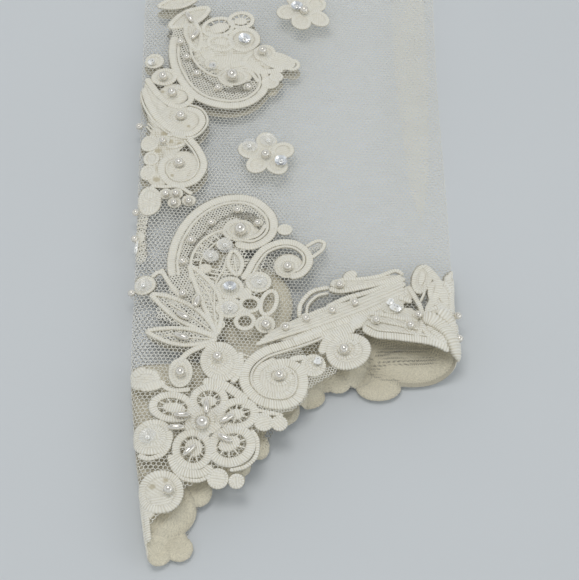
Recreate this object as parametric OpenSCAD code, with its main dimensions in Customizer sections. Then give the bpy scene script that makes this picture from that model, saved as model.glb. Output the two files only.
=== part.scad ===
// Fingerless bridal glove of fine net with beaded lace motifs, lying flat on a table.
// Frame: +Y runs from the hand point to the elbow, +X to the right, +Z up, table at z = 0.
// The origin is under the middle of the glove. Plans below are drawn from the wrist line.

/* [Sleeve] */
// Length from the hand point to the elbow edge
glove_len = 320; // [300:5:360]
// Width of the flattened sleeve, fold to fold
sleeve_w = 100; // [96:1:104]
// Free height between the two layers of net
inner_h = 6; // [5.5:0.5:8]
// Thickness of one layer of net
net_t = 0.4; // [0.3:0.1:0.6]
// How far the motifs of the palm sit nearer the elbow than those of the back
palm_rise = 4; // [2:1:6]

/* [Seam and elbow hem] */
// Width of the seam allowance where it is widest
seam_w = 11; // [8:1:12]
// Depth of the elbow hem along the sleeve
hem_depth = 9; // [7:1:12]
// Thickness of the hem casing around the net
hem_t = 1.6; // [1.4:0.1:2]
// Thickness of the elastic inside the hem
elastic_t = 0.7; // [0.5:0.1:0.8]

/* [Lace] */
// Thickness of a lace motif
lace_t = 0.6; // [0.5:0.1:0.8]
// Width of a satin-stitched band
band_w = 2.8; // [2.4:0.1:3]
// Width of a couched cord
cord_w = 1; // [0.8:0.1:1.2]

/* [Beads] */
// Diameter of the large pearls
large_pearl_d = 4; // [3.5:0.1:4.5]
// Diameter of the middle pearls
mid_pearl_d = 3; // [2.8:0.1:3.2]
// Diameter of the small pearls
small_pearl_d = 2.5; // [2:0.1:2.7]
// Diameter of a rice pearl
rice_d = 2; // [1.8:0.1:2.2]
// Length of a rice pearl
rice_len = 5; // [4.4:0.1:5.4]
// Diameter of a cup sequin
sequin_d = 5.6; // [5:0.1:6]
// Thickness of a cup sequin
sequin_t = 0.4; // [0.3:0.1:0.6]
// Diameter of the seed bead that holds a sequin
seed_d = 1.4; // [1.2:0.1:1.6]
// Diameter of a crystal
crystal_d = 2.6; // [2.2:0.1:2.8]

/* [Hidden] */
$fn = 48;

// Levels above the table
palm_lace_z = mid_pearl_d;
palm_net_z = palm_lace_z + lace_t;
hollow_z = palm_net_z + net_t;
back_net_z = hollow_z + inner_h;
back_lace_z = back_net_z + net_t;
bead_z = back_lace_z + lace_t;
sleeve_h = inner_h + 2 * net_t;
mid_z = palm_net_z + sleeve_h / 2;

// Places along the sleeve, from the wrist line
tip_y = -88;
elbow_y = tip_y + glove_len;
wrist_y = -(tip_y + elbow_y) / 2;
half_w = sleeve_w / 2;
mirror_y = 54.5;
palm_shift = [0, palm_rise];

// Hand edge of the net, from the point at the left fold up to the right fold
hand_edge = [
  [-51, -42], [-46, -64], [-42.5, -80], [-37, -80], [-30, -72], [-22, -64], [-12, -61], [-5, -48], [2, -41],
  [8, -34], [22, -28], [32, -20], [42, -20], [50, -22]
];

// The same edge on the palm, which reaches nearer the fingertips
palm_edge = [
  [-51, -50], [-46, -70], [-42.5, -84], [-36, -85], [-31, -83], [-28, -76], [-24, -66], [-14, -58], [-8, -52],
  [-2, -42], [6, -35], [14, -30], [22, -30], [28, -31], [36, -28], [44, -26], [50, -20]
];

// Beads of each motif, back of the hand first
tip_large = [[-25, -45.5]];
wrist_large = [[-15.5, 23.5]];
arm_large = [[-19, 86.5]];
tip_rice = [
  [-24, -40.3, 90], [-31, -43, 0], [-32.5, -47, 0], [-28.5, -54, 45], [-18.5, -50.5, -30], [-18, -44.3, 30]
];
scroll_mid = [[-34, -66.3]];
hand_mid = [[-21.3, -23.5], [-3, -29.7]];
edge_mid = [[16.3, -21]];
edge_small = [[-1.2, -13], [5, -10], [13, -7.5], [19.7, -5], [15.2, 2], [26, -11.8], [35.8, -14], [38.5, -10.2]];
leaf_mid = [[-32, -28.3]];
leaf_rice = [[-32, -9.3, -35], [-32, -16.7, -25], [-28, -4, 75]];
flower_mid = [[-7.3, -12.3], [-0.5, 8.8]];
flower_sequins = [[-18.2, 1], [-9.5, 3.5], [-18.5, -7]];
paisley_small = [[-33, 10.7], [-30.7, 19], [-24.5, 26], [-16.3, 30.7], [-9.8, 25.7]];
cluster_small = [[-39.3, 37.3], [-36, 37.3], [-36.5, 33.7], [-32, 34.5]];
chain_mid = [[-35.5, 50], [-35.5, 69.3], [-38.8, 79], [-41.8, 86.2]];
chain_small = [[-41, 59]];
arm_small = [[-36.8, 101.5], [-34.5, 94.5], [-31, 87.3], [-23.7, 81], [-13.9, 81.8]];
arm_mid = [[-9, 97.7]];
arm_rice = [[-32, 105, 60], [-34.3, 113, -60]];
small_flowers = [[-7.5, 53], [5, 116], [-20, 178]];
tip_sequins = [[-40.3, -50.5]];
paisley_sequins = [[-24.5, 13], [-19.7, 17]];
arm_sequins = [[-15.5, 103.2]];
crystal_spots = [[8.3, -25], [31, -7], [-26, 91.8], [-44.5, 92.5]];
fold_rows = [0, 20, 30.3, 64.5];
wrap_rows = [-8, -16];
fold_turn = 20;

// ---- plan shapes -------------------------------------------------------------------
function spot(p, i, t) =
  let (a = p[max(i - 1, 0)], b = p[i], c = p[i + 1], d = p[min(i + 2, len(p) - 1)])
  0.5 * (2 * b + (c - a) * t + (2 * a - 5 * b + 4 * c - d) * t * t + (3 * b - a - 3 * c + d) * t * t * t);
function smooth(p, n = 4) =
  [for (i = [0 : len(p) - 2]) for (k = [0 : n - 1]) spot(p, i, k / n), p[len(p) - 1]];
function beside(p, s) =
  [for (i = [0 : len(p) - 1])
    let (d = p[min(i + 1, len(p) - 1)] - p[max(i - 1, 0)]) p[i] + s * [-d[1], d[0]] / norm(d)];
function backwards(p) = [for (i = [len(p) - 1 : -1 : 0]) p[i]];
function flipped(p) = [for (q = p) [q[0], 2 * mirror_y - q[1]]];

function heading(p, i) =
  let (d = p[min(i + 1, len(p) - 1)] - p[max(i - 1, 0)]) atan2(d[1], d[0]);
function round_end(c, r, turn) = [for (k = [-3 : 3]) c + r * [cos(turn + 28 * k), sin(turn + 28 * k)]];

module band(p, w = band_w) {
  c = smooth(p);
  last = len(c) - 1;
  polygon(concat(
    beside(c, -w / 2), round_end(c[last], w / 2, heading(c, last)),
    backwards(beside(c, w / 2)), round_end(c[0], w / 2, heading(c, 0) + 180)
  ));
}
module petal(x, y, a, b, turn = 0) {
  translate([x, y]) rotate(turn)
    polygon([for (k = [0 : 27]) [a * cos(k * 360 / 28), b * sin(k * 360 / 28)]]);
}
module leaf(a, b, w) {
  d = b - a;
  n = [-d[1], d[0]] / norm(d);
  upper = [for (k = [1 : 11]) a + d * k / 12 + n * w / 2 * sin(180 * k / 12)];
  lower = [for (k = [11 : -1 : 1]) a + d * k / 12 - n * w / 2 * sin(180 * k / 12)];
  polygon(concat([a], upper, [b], lower));
}
module disc(x, y, r) { translate([x, y]) circle(r = r); }
module loop(x, y, r, w = 1.6) { difference() { disc(x, y, r); disc(x, y, r - w); } }
module pads(spots, r) { for (p = spots) disc(p[0], p[1], r); }

// ---- lace plans --------------------------------------------------------------------
module tip_flower_plan() {
  petal(-23.5, -38.5, 4.6, 5);
  petal(-34, -40.5, 6, 4.5, -10);
  difference() {
    petal(-39, -50.5, 5.4, 5.8);
    disc(-35.2, -55.2, 0.9);
  }
  petal(-27.8, -56.5, 5.5, 7.6);
  petal(-16.8, -53.8, 6.8, 5.8, 30);
  petal(-15.5, -43.5, 5.6, 5.2, 20);
  disc(-25, -46, 5.5);
  band([[-31, -62], [-26, -64.5], [-20, -63.5], [-14, -64], [-10.5, -59], [-8.5, -52], [-4, -46.5]], 2);
  pads([[-20.3, -63.5], [-15, -64]], 2.8);
  pads([[-7.5, -46], [-3, -46]], 2.7);
}
module tip_scroll_plan() {
  difference() {
    union() {
      petal(-36, -67.3, 6.6, 6.6);
      leaf([-40, -68], [-39.5, -82], 5.4);
      disc(-29.5, -70, 2.4);
    }
    disc(-36.5, -63.2, 0.9);
    disc(-39.3, -65.8, 0.8);
  }
}
module hand_scroll_plan() {
  band([[4, -17.5], [-2, -19.5], [-8, -22], [-12.5, -27], [-13, -33], [-9, -38.5], [-3, -40],
    [2, -38], [4, -33], [3, -28], [-1, -25.5], [-6, -26.5]]);
  petal(-3.5, -31.5, 6.4, 6);
  difference() {
    petal(-20.5, -25, 6.5, 7, 20);
    disc(-17.5, -30.5, 0.8);
  }
  band([[-22, -32], [-18, -36], [-12, -38]], 2);
  leaf([-1, -24.5], [6, -24], 3.2);
}
module hand_edge_plan() {
  band([[4, -17.2], [10, -15], [20, -8.5], [28, -4], [36, 0]]);
  disc(7, -26.5, 4);
  petal(17.5, -22, 7, 6.4, 20);
  band([[-6, -19], [0, -15.5], [10, -11.5], [20, -6], [30, -1], [35, 3]], cord_w);
  band([[-2, -13], [4, -10], [10, -7], [18, -5], [25, -2.5], [34, 3]], 2.4);
  band([[12, 0], [16, 2.5], [22, 3.5], [28, 4], [34, 4.5]], 2);
  leaf([12, 0], [30, 1], 4.5);
  band([[3, -9], [4, -3.5], [8, 0.5], [12, 0]], 2);
  disc(18.5, 4.5, 2);
  disc(31, -7, 3.2);
  band([[20, -13], [26, -17], [33, -18.5], [38, -19.5]]);
  band([[22, -10], [28, -11.5], [34, -13.5], [39, -12]], 2.2);
  band([[26, -18], [30, -12], [31, -7]], 2);
  band([[37, -20], [37.5, -14], [38, -9]], 2);
  band([[9, -24], [12, -17], [20, -12]], 2);
  pads(edge_small, 1.6);
}
module fold_wrap_plan() {
  petal(41, 3, 3, 5.6, -10);
  petal(45, -4, 3.6, 5, 10);
  petal(44, -15.5, 4.6, 6);
  band([[42, 8], [46, 3], [48, -4], [47, -10], [48, -16], [46, -22]], 2);
}
module wrist_leaf_plan() {
  leaf([-31, 8], [-22, -15], 5);
  leaf([-42, -1.5], [-21, -16.5], 6.5);
  leaf([-42.5, -14.5], [-20, -17.5], 6);
  leaf([-39.5, 7.5], [-33, -2], 3);
  petal(-42, -31, 4, 3);
  petal(-32, -29, 3.5, 5);
  band([[-42, -31], [-36, -33], [-32, -31]], 2);
  band([[-33, -26], [-29, -20], [-22, -17.5]], 2);
  petal(-43.8, 2, 3.2, 3.6);
  band([[-43.8, 2], [-41, 6], [-38, 5]], 1.6);
}
module wrist_flower_plan() {
  disc(-18.2, 1, 4.3);
  disc(-18, -6, 4);
  disc(-9.5, 3.5, 4);
  loop(-12, -4.6, 3.4);
  loop(-6.2, -4.6, 3.8);
  loop(-13.5, -11, 3.3);
  disc(-7.3, -12.2, 3.3);
  loop(-20.5, -12, 1.8, 0.9);
  disc(-14, -1, 2.6);
  leaf([-18.5, 15.2], [-15.5, 5], 4.6);
  band([[-12, 5], [-11, 11], [-8, 15.5], [-3, 18], [2, 17.5], [5.5, 14], [6, 9.5]], 2.2);
  disc(-0.5, 9.4, 4.7);
  band([[-6, 5], [-4, 7], [-0.5, 9]], 2);
  leaf([5, 12], [11, 18.5], 4);
}
module paisley_plan() {
  band([[-36, 5], [-36.5, 12], [-35, 20], [-31, 28], [-25, 33.5], [-18, 35.5], [-11, 34], [-6, 29],
    [-5, 23], [-7.5, 18.8], [-12, 16.8], [-17, 18.2], [-19.3, 21.5], [-18.5, 25], [-15.5, 26.5], [-12, 25.5]]);
  band([[-30, 5], [-30, 12], [-27.5, 18], [-23, 22], [-19.5, 23]], cord_w);
  band([[-33, 5.5], [-33, 13], [-31, 20.5], [-27, 26.5], [-21, 31], [-15, 31], [-10.5, 27.5], [-9, 23]], 5.4);
  pads(wrist_large, 2.6);
  pads(paisley_sequins, 2.3);
  petal(-1.5, 22.7, 2.5, 2.2);
  band([[-5, 24], [-2, 23]], 1.4);
}
module fold_cluster_plan() {
  petal(-44, 34.3, 3.6, 6);
  for (p = cluster_small) disc(p[0], p[1], 2);
  band([[-43, 38], [-39, 37.5], [-33, 34.8]], 1.8);
}
module fold_chain_plan() {
  band([[-33, 60], [-29.5, 55], [-27.5, 49], [-29.5, 43], [-34, 40.8], [-38.5, 42], [-41, 46],
    [-40.5, 50.5], [-37, 52.5]], 2.4);
  disc(-35.5, 49.2, 3);
  band([[-48, 82], [-45.5, 74], [-42, 67], [-37, 62], [-32, 61.5], [-28.5, 66], [-30, 70.5], [-34, 72.5]], 2.4);
  disc(-35.5, 68, 3.4);
  band([[-47, 86], [-43, 78], [-40, 74.5], [-36, 73], [-32.5, 76], [-34, 80], [-38, 81.5]], 2);
  disc(-38.5, 78.5, 2.8);
  disc(-41.5, 86, 3.8);
  petal(-45, 93, 3, 3.2);
  band([[-42, 86], [-44, 89], [-45, 93]], 1.8);
  loop(-45, 58, 3);
  loop(-43, 52, 2.8);
  loop(-44.5, 46.5, 2.8);
  disc(-41, 59, 2.2);
  band([[-41, 59], [-37, 60.5], [-33, 60.5]], 1.6);
}
module arm_flower_plan() {
  petal(-24, 108.5, 5.8, 5.2);
  petal(-17, 111.5, 4.6, 4.2);
  disc(-15.5, 103, 5.5);
  petal(-23.2, 101.6, 4.8, 4);
  disc(-20, 105.5, 3);
  disc(-8.3, 96.6, 4);
  petal(-4.5, 93.4, 6, 4.2, -20);
  disc(1, 91.4, 2.8);
  band([[-12.5, 97.5], [-15, 94], [-14.5, 91], [-10, 88.4], [-2, 89.5]], 2.2);
  disc(-6.5, 84, 3.2);
  leaf([-41, 108], [-27.5, 117], 7);
  leaf([-33.5, 113], [-31, 97], 6);
  leaf([-45, 117], [-33, 121], 5);
  pads([[-26, 91.8]], 2.6);
}
module small_flower_plan() {
  for (k = [0 : 4]) petal(6 * cos(90 + 72 * k), 6 * sin(90 + 72 * k), 4.4, 3.6, 90 + 72 * k);
  circle(r = 3.4);
}
module arm_paisley_plan() { translate([-3, 0]) flip_plan() paisley_plan(); }
module flip_plan() { translate([0, 2 * mirror_y]) mirror([0, 1]) children(); }

// Lobes of the palm show past the back of the hand
module palm_tip_plan() {
  translate(palm_shift) { tip_flower_plan(); tip_scroll_plan(); }
  disc(-36.4, tip_y + 3.8, 3.8);
  disc(-31, tip_y + 6.4, 4);
  disc(-34.5, tip_y + 10, 5);
  disc(-33, tip_y + 16, 6);
  disc(-26.6, tip_y + 23.4, 4.6);
  disc(-18, tip_y + 31, 5.6);
  disc(-9.5, tip_y + 38, 3.8);
}
module palm_edge_plan() {
  translate(palm_shift) { hand_scroll_plan(); hand_edge_plan(); fold_wrap_plan(); }
  disc(-4, -38, 6);
  disc(5, -32, 4.4);
  disc(13, -28, 3.6);
  disc(20, -25.6, 4.2);
  disc(26.5, -29, 4.8);
  polygon([[23, -20], [32, -16], [43, -13], [49, -13], [50, -18], [47.8, -24], [41, -27.4], [33, -27.6],
    [27, -26]]);
}

// ---- sleeve helpers ----------------------------------------------------------------
module tube(w, h, y0, y1) {
  translate([0, y1, mid_z]) rotate([90, 0, 0]) linear_extrude(y1 - y0) {
    square([w - h, h], center = true);
    for (s = [-1, 1]) translate([s * (w - h) / 2, 0]) circle(d = h);
  }
}
module layer_plan(edge) {
  last = edge[len(edge) - 1];
  polygon(concat([[half_w + 1, elbow_y], [-half_w - 1, elbow_y]], edge, [[half_w + 1, last[1]]]));
}
module on_back() { translate([0, wrist_y, back_lace_z]) linear_extrude(lace_t) children(); }
module on_palm() { translate([0, wrist_y, palm_lace_z]) linear_extrude(lace_t) children(); }
module balls(spots, d, z) { for (p = spots) translate([p[0], p[1] + wrist_y, z + d / 2]) sphere(d = d); }
module fold_ball(side, y, d) {
  r = sleeve_h / 2 + d / 2;
  translate([side * (half_w - sleeve_h / 2 + r * cos(fold_turn)), y + wrist_y, mid_z + r * sin(fold_turn)])
    sphere(d = d);
}

// ---- pieces ------------------------------------------------------------------------
module net_sleeve() {
  color([0.93, 0.93, 0.9]) translate([0, wrist_y, 0]) difference() {
    tube(sleeve_w, sleeve_h, tip_y, elbow_y);
    tube(sleeve_w - 2 * net_t, inner_h, tip_y - 1, elbow_y + 1);
    translate([0, 0, mid_z]) linear_extrude(sleeve_h) difference() {
      translate([-half_w - 5, tip_y - 5]) square([sleeve_w + 10, glove_len + 10]);
      layer_plan(hand_edge);
    }
    translate([0, 0, mid_z - sleeve_h]) linear_extrude(sleeve_h) difference() {
      translate([-half_w - 5, tip_y - 5]) square([sleeve_w + 10, glove_len + 10]);
      layer_plan(palm_edge);
    }
  }
}
module seam_allowance() {
  color([0.95, 0.95, 0.92]) translate([0, wrist_y, back_net_z - net_t]) linear_extrude(net_t)
    polygon([[40, 28], [42, 40], [46 - seam_w, 90], [46 - seam_w, elbow_y - hem_depth],
      [46, elbow_y - hem_depth], [46, 90], [44, 40]]);
}
module elbow_hem() {
  y0 = elbow_y - hem_depth;
  inset = (hem_t - elastic_t) / 2;
  color([0.96, 0.96, 0.93]) translate([0, wrist_y, 0]) difference() {
    tube(sleeve_w + 2 * hem_t, sleeve_h + 2 * hem_t, y0, elbow_y);
    tube(sleeve_w, sleeve_h, y0 - 1, elbow_y + 1);
    difference() {
      tube(sleeve_w + 2 * (hem_t - inset), sleeve_h + 2 * (hem_t - inset), y0 + 1, elbow_y - 1);
      tube(sleeve_w + 2 * inset, sleeve_h + 2 * inset, y0, elbow_y);
    }
  }
}
module elbow_elastic() {
  y0 = elbow_y - hem_depth;
  inset = (hem_t - elastic_t) / 2;
  color([0.9, 0.9, 0.88]) translate([0, wrist_y, 0]) difference() {
    tube(sleeve_w + 2 * (hem_t - inset), sleeve_h + 2 * (hem_t - inset), y0 + 1, elbow_y - 1);
    tube(sleeve_w + 2 * inset, sleeve_h + 2 * inset, y0, elbow_y);
  }
}
module tip_flower_lace() { color([0.92, 0.91, 0.85]) on_back() tip_flower_plan(); }
module tip_scroll_lace() {
  color([0.92, 0.91, 0.85]) on_back() difference() { tip_scroll_plan(); tip_flower_plan(); }
}
module hand_scroll_lace() {
  color([0.92, 0.91, 0.85]) on_back() difference() { hand_scroll_plan(); tip_flower_plan(); }
}
module hand_edge_lace() {
  color([0.92, 0.91, 0.85]) on_back() difference() { hand_edge_plan(); hand_scroll_plan(); }
}
module fold_wrap_lace() {
  color([0.92, 0.91, 0.85]) on_back() difference() { fold_wrap_plan(); hand_edge_plan(); }
}
module wrist_leaf_lace() {
  color([0.92, 0.91, 0.85]) on_back() difference() {
    wrist_leaf_plan();
    hand_scroll_plan();
    tip_flower_plan();
  }
}
module wrist_flower_lace() {
  color([0.92, 0.91, 0.85]) on_back() difference() {
    wrist_flower_plan();
    wrist_leaf_plan();
    hand_edge_plan();
  }
}
module wrist_paisley_lace() {
  color([0.92, 0.91, 0.85]) on_back() difference() {
    paisley_plan();
    wrist_leaf_plan();
    wrist_flower_plan();
  }
}
module fold_cluster_lace() {
  color([0.92, 0.91, 0.85]) on_back() difference() { fold_cluster_plan(); paisley_plan(); }
}
module fold_chain_lace() {
  color([0.92, 0.91, 0.85]) on_back() difference() { fold_chain_plan(); fold_cluster_plan(); }
}
module arm_paisley_lace() {
  color([0.92, 0.91, 0.85]) on_back() difference() { arm_paisley_plan(); fold_chain_plan(); }
}
module arm_flower_lace() {
  color([0.92, 0.91, 0.85]) on_back() difference() {
    arm_flower_plan();
    arm_paisley_plan();
  }
}
module small_flower_lace() {
  color([0.92, 0.91, 0.85]) on_back() for (p = small_flowers) translate(p) small_flower_plan();
}
module elbow_flower_lace() { color([0.92, 0.91, 0.85]) on_back() flip_plan() tip_flower_plan(); }
module elbow_paisley_lace() {
  color([0.92, 0.91, 0.85]) on_back() translate([0, 178]) paisley_plan();
}
module palm_tip_lace() { color([0.88, 0.86, 0.78]) on_palm() palm_tip_plan(); }
module palm_edge_lace() {
  color([0.88, 0.86, 0.78]) on_palm() difference() { palm_edge_plan(); palm_tip_plan(); }
}
module palm_paisley_lace() {
  color([0.88, 0.86, 0.78]) on_palm() difference() {
    union() { wrist_leaf_plan(); wrist_flower_plan(); paisley_plan(); fold_cluster_plan(); }
    palm_edge_plan();
    palm_tip_plan();
  }
}
module palm_arm_lace() {
  color([0.88, 0.86, 0.78]) on_palm() difference() {
    union() {
      fold_chain_plan();
      arm_paisley_plan();
      arm_flower_plan();
    }
    fold_cluster_plan();
  }
}
module large_pearls() {
  color([0.96, 0.94, 0.88]) {
    balls(concat(tip_large, wrist_large, arm_large, flipped(tip_large)), large_pearl_d, bead_z);
    balls([for (p = wrist_large) p + [0, 178]], large_pearl_d, bead_z);
  }
}
module mid_pearls() {
  spots = concat(scroll_mid, hand_mid, edge_mid, leaf_mid, flower_mid, chain_mid, arm_mid, small_flowers);
  color([0.96, 0.94, 0.88]) balls(spots, mid_pearl_d, bead_z);
}
module small_pearls() {
  spots = concat(edge_small, paisley_small, cluster_small, chain_small, arm_small);
  color([0.96, 0.94, 0.88]) {
    balls(spots, small_pearl_d, bead_z);
    balls([for (p = paisley_small) p + [0, 178]], small_pearl_d, bead_z);
  }
}
module fold_pearls() {
  color([0.96, 0.94, 0.88]) {
    for (y = fold_rows) fold_ball(-1, y, small_pearl_d);
    for (y = wrap_rows) fold_ball(1, y, small_pearl_d);
  }
}
module rice_pearls() {
  spots = concat(tip_rice, leaf_rice, arm_rice, [for (p = tip_rice) [p[0], 2 * mirror_y - p[1], -p[2]]]);
  color([0.96, 0.94, 0.88]) for (p = spots)
    translate([p[0], p[1] + wrist_y, bead_z + rice_d / 2]) rotate([0, 0, p[2]]) rotate([0, 90, 0])
      union() {
        for (s = [-1, 1]) translate([0, 0, s * (rice_len - rice_d) / 2]) sphere(d = rice_d);
        cylinder(h = rice_len - rice_d, d = rice_d, center = true);
      }
}
module cup_sequins() {
  spots = concat(tip_sequins, flower_sequins, paisley_sequins, arm_sequins);
  color([0.85, 0.9, 0.92]) for (p = spots)
    translate([p[0], p[1] + wrist_y, bead_z]) cylinder(h = sequin_t, d = sequin_d);
}
module seed_beads() {
  spots = concat(tip_sequins, flower_sequins, paisley_sequins, arm_sequins);
  color([0.95, 0.94, 0.9]) balls(spots, seed_d, bead_z + sequin_t);
}
module crystals() {
  color([0.85, 0.88, 0.92]) for (p = crystal_spots)
    translate([p[0], p[1] + wrist_y, bead_z]) rotate_extrude()
      polygon([[0, 0], [crystal_d / 2, 0], [crystal_d / 2, 0.5], [crystal_d / 3, 1.3], [0, 1.3]]);
}
module bugle_beads() {
  color([0.88, 0.9, 0.92])
    translate([-46, 16.3 + wrist_y, back_lace_z + 0.6]) rotate([90, 0, 0])
      difference() {
        cylinder(h = 4, d = 1.2, center = true);
        cylinder(h = 5, d = 0.5, center = true);
      }
}
module palm_pearls() {
  spots = concat(
    [for (p = concat(tip_large, scroll_mid, hand_mid, edge_mid)) p + palm_shift],
    wrist_large, leaf_mid, flower_mid, chain_mid, arm_large, arm_mid
  );
  color([0.96, 0.94, 0.88]) {
    balls(spots, mid_pearl_d, 0);
    balls([[-30, elbow_y - 20], [30, elbow_y - 20], [38, 20]], mid_pearl_d, 0);
  }
}

net_sleeve();
seam_allowance();
elbow_hem();
elbow_elastic();
tip_flower_lace();
tip_scroll_lace();
hand_scroll_lace();
hand_edge_lace();
fold_wrap_lace();
wrist_leaf_lace();
wrist_flower_lace();
wrist_paisley_lace();
fold_cluster_lace();
fold_chain_lace();
arm_paisley_lace();
arm_flower_lace();
small_flower_lace();
elbow_flower_lace();
elbow_paisley_lace();
palm_tip_lace();
palm_edge_lace();
palm_paisley_lace();
palm_arm_lace();
large_pearls();
mid_pearls();
small_pearls();
fold_pearls();
rice_pearls();
cup_sequins();
seed_beads();
crystals();
bugle_beads();
palm_pearls();
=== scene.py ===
"""Fingerless bridal glove of net with stitched lace, pearls and sequins, lying flat."""

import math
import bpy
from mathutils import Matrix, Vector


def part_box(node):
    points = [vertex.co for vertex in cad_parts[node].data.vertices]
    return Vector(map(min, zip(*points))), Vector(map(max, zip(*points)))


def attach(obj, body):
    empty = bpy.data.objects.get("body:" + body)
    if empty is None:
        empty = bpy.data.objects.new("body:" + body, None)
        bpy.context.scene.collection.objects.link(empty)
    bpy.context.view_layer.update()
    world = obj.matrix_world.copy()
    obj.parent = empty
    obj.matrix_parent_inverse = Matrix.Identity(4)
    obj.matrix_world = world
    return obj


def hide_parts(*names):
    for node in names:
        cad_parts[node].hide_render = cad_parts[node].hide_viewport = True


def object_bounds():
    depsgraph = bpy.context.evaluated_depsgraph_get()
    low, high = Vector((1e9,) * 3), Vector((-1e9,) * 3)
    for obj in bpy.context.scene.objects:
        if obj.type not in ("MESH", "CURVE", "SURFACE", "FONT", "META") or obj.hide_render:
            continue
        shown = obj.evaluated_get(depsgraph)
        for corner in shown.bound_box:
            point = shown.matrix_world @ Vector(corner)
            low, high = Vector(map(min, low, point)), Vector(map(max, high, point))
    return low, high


bl_info = {
    "name": "Lace Bridal Glove",
    "version": (1, 0, 0),
    "blender": (4, 5, 0),
    "location": "3D View > Sidebar > Glove",
    "description": "Builds a fingerless net glove with stitched lace, pearls and sequins",
    "category": "Add Mesh",
}

import bpy
import numpy as np
from mathutils import Vector

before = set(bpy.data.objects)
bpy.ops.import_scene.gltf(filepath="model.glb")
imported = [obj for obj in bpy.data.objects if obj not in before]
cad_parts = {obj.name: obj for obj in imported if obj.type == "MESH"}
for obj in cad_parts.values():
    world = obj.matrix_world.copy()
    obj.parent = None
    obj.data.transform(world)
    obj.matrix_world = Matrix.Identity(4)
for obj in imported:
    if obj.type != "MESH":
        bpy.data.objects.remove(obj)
CAD_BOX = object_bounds()

# ---- the frame, in millimetres -----------------------------------------------------
MM = 0.001
BODY = "root"
BACK, PALM = 1, -1
THREAD, WRONG_SIDE = 0, 1
PLAIN_TONE = 0.7
SLEEVE_LOW, SLEEVE_HIGH = (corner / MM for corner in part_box("net_sleeve"))
HEM_LOW, HEM_HIGH = (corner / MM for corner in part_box("elbow_hem"))
POINT_TO_WRIST = 88
WRIST_Y = CAD_BOX[0].y / MM + POINT_TO_WRIST
ELBOW_Y = HEM_HIGH.y - WRIST_Y
HEM_Y = HEM_LOW.y - WRIST_Y
BACK_Z = SLEEVE_HIGH.z
PALM_Z = SLEEVE_LOW.z
HALF_W = SLEEVE_HIGH.x
# how far the palm's motifs sit nearer the elbow than those of the back
PALM_SHIFT = np.array([0.0, 4.0])
SLEEVE_SHIFT = np.array([0.0, 2.0])
# the net is cut at these places along the arm
NET_CUTS = (("hand", -100, 80), ("wrist", 80, 158), ("arm", 158, 300))
# the arm's motifs are the wrist's turned end for end about this line
FLIP_Y = 54.5
# the elbow's paisley repeats the wrist's this far up the arm
ELBOW_REPEAT = 178
# how far the empty sleeve sinks where lace weighs on it, and where it is bare net
SINK = 3.7
BARE_SINK = 1.3
# how far sinking cloth slides up the arm, as a share of how far it sinks
SLIDE = 0.67
# width of the round fold at the left
FOLD_WIDTH = 7


# ---- the shape of the lying sleeve -------------------------------------------------
# turn of the round side fold against the cloth that runs over it
ROLL_TURN = np.linspace(0, math.pi / 2, 60)
ROLL_RUN = np.cumsum(np.sqrt(np.sin(ROLL_TURN) ** 2 + (0.45 * np.cos(ROLL_TURN)) ** 2))
ROLL_RUN = (ROLL_RUN - ROLL_RUN[0]) / (ROLL_RUN[-1] - ROLL_RUN[0])
HAND_EDGE = np.array([
    (-60, -78), (-43, -80), (-39, -79), (-34, -72), (-30, -67), (-22, -62), (-14, -59),
    (-10, -51), (-5, -45), (0, -41), (3, -36), (5, -29), (10, -25), (17, -26), (21, -20),
    (24, -15), (33, -18), (40, -19), (47, -21), (60, -22)], float)
PALM_EDGE = np.array([
    (-60, -82), (-43, -84), (-36, -85), (-31, -83), (-28, -76), (-24, -66), (-14, -58), (-8, -52),
    (-2, -42), (6, -35), (14, -30), (22, -30), (28, -32), (36, -28), (44, -26), (48, -23),
    (60, -18)], float)


def hand_edge(x):
    """Scalloped edge of the back at the hand."""
    return np.interp(x, HAND_EDGE[:, 0], HAND_EDGE[:, 1])


def ramp(value, start, end):
    """Smooth step from 0 at start to 1 at end."""
    t = np.clip((value - start) / (end - start), 0, 1)
    return t * t * (3 - 2 * t)


def hump(value, middle, reach):
    """Smooth rise to 1 at the middle."""
    return np.exp(-(((value - middle) / reach) ** 2))


def palm_edge(x):
    """Scalloped edge of the palm at the hand."""
    return np.interp(x, PALM_EDGE[:, 0], PALM_EDGE[:, 1])


def left_fold(y):
    """Place of the fold at the left, which draws in towards the tip."""
    tip = np.clip((-20 - y) / 62, 0, 1.2)
    return -47.5 - 0.02 * np.minimum(y, 120) + 6 * tip**1.6


def right_fold(y):
    """Place of the seamed fold at the right."""
    return 49.7 + 0.35 * np.sin(y / 19)


def slack(x, y):
    """How far the empty sleeve sinks behind the knuckles."""
    bare = ramp(x, 0, 26) * ramp(y, 4, 40)
    return (SINK - (SINK - BARE_SINK) * bare) * ramp(y, -24, 14) * (1 - ramp(y, HEM_Y - 50, HEM_Y))


def back_height(x, y):
    """Height of the back layer above the table."""
    bare = ramp(x, 0, 26) * ramp(y, 4, 40) * (1 - ramp(y, 190, 222))
    tip = ramp(-y, 48, 86)
    mouth = hump(x, 36, 15) * hump(y, -20, 17)
    ruffle = hump(x, 46, 4.5) * ramp(-y, -12, 2) * (0.6 + 0.4 * np.sin(0.62 * y + 0.8))
    wrinkle = hump(x, 30, 12) * hump(y, 32, 14) * np.sin(0.55 * x - 0.5 * y)
    sway = 0.28 * np.sin(0.13 * x + 0.07 * y) + 0.16 * np.sin(0.31 * x - 0.23 * y + 1)
    z = BACK_Z - 0.5 - 3.4 * bare - 2.4 * tip + 2.6 * mouth + 1.8 * ruffle + 0.4 * wrinkle + sway
    z -= slack(x, y)
    return z + (BACK_Z - 0.2 - z) * ramp(y, HEM_Y - 30, HEM_Y)


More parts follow.
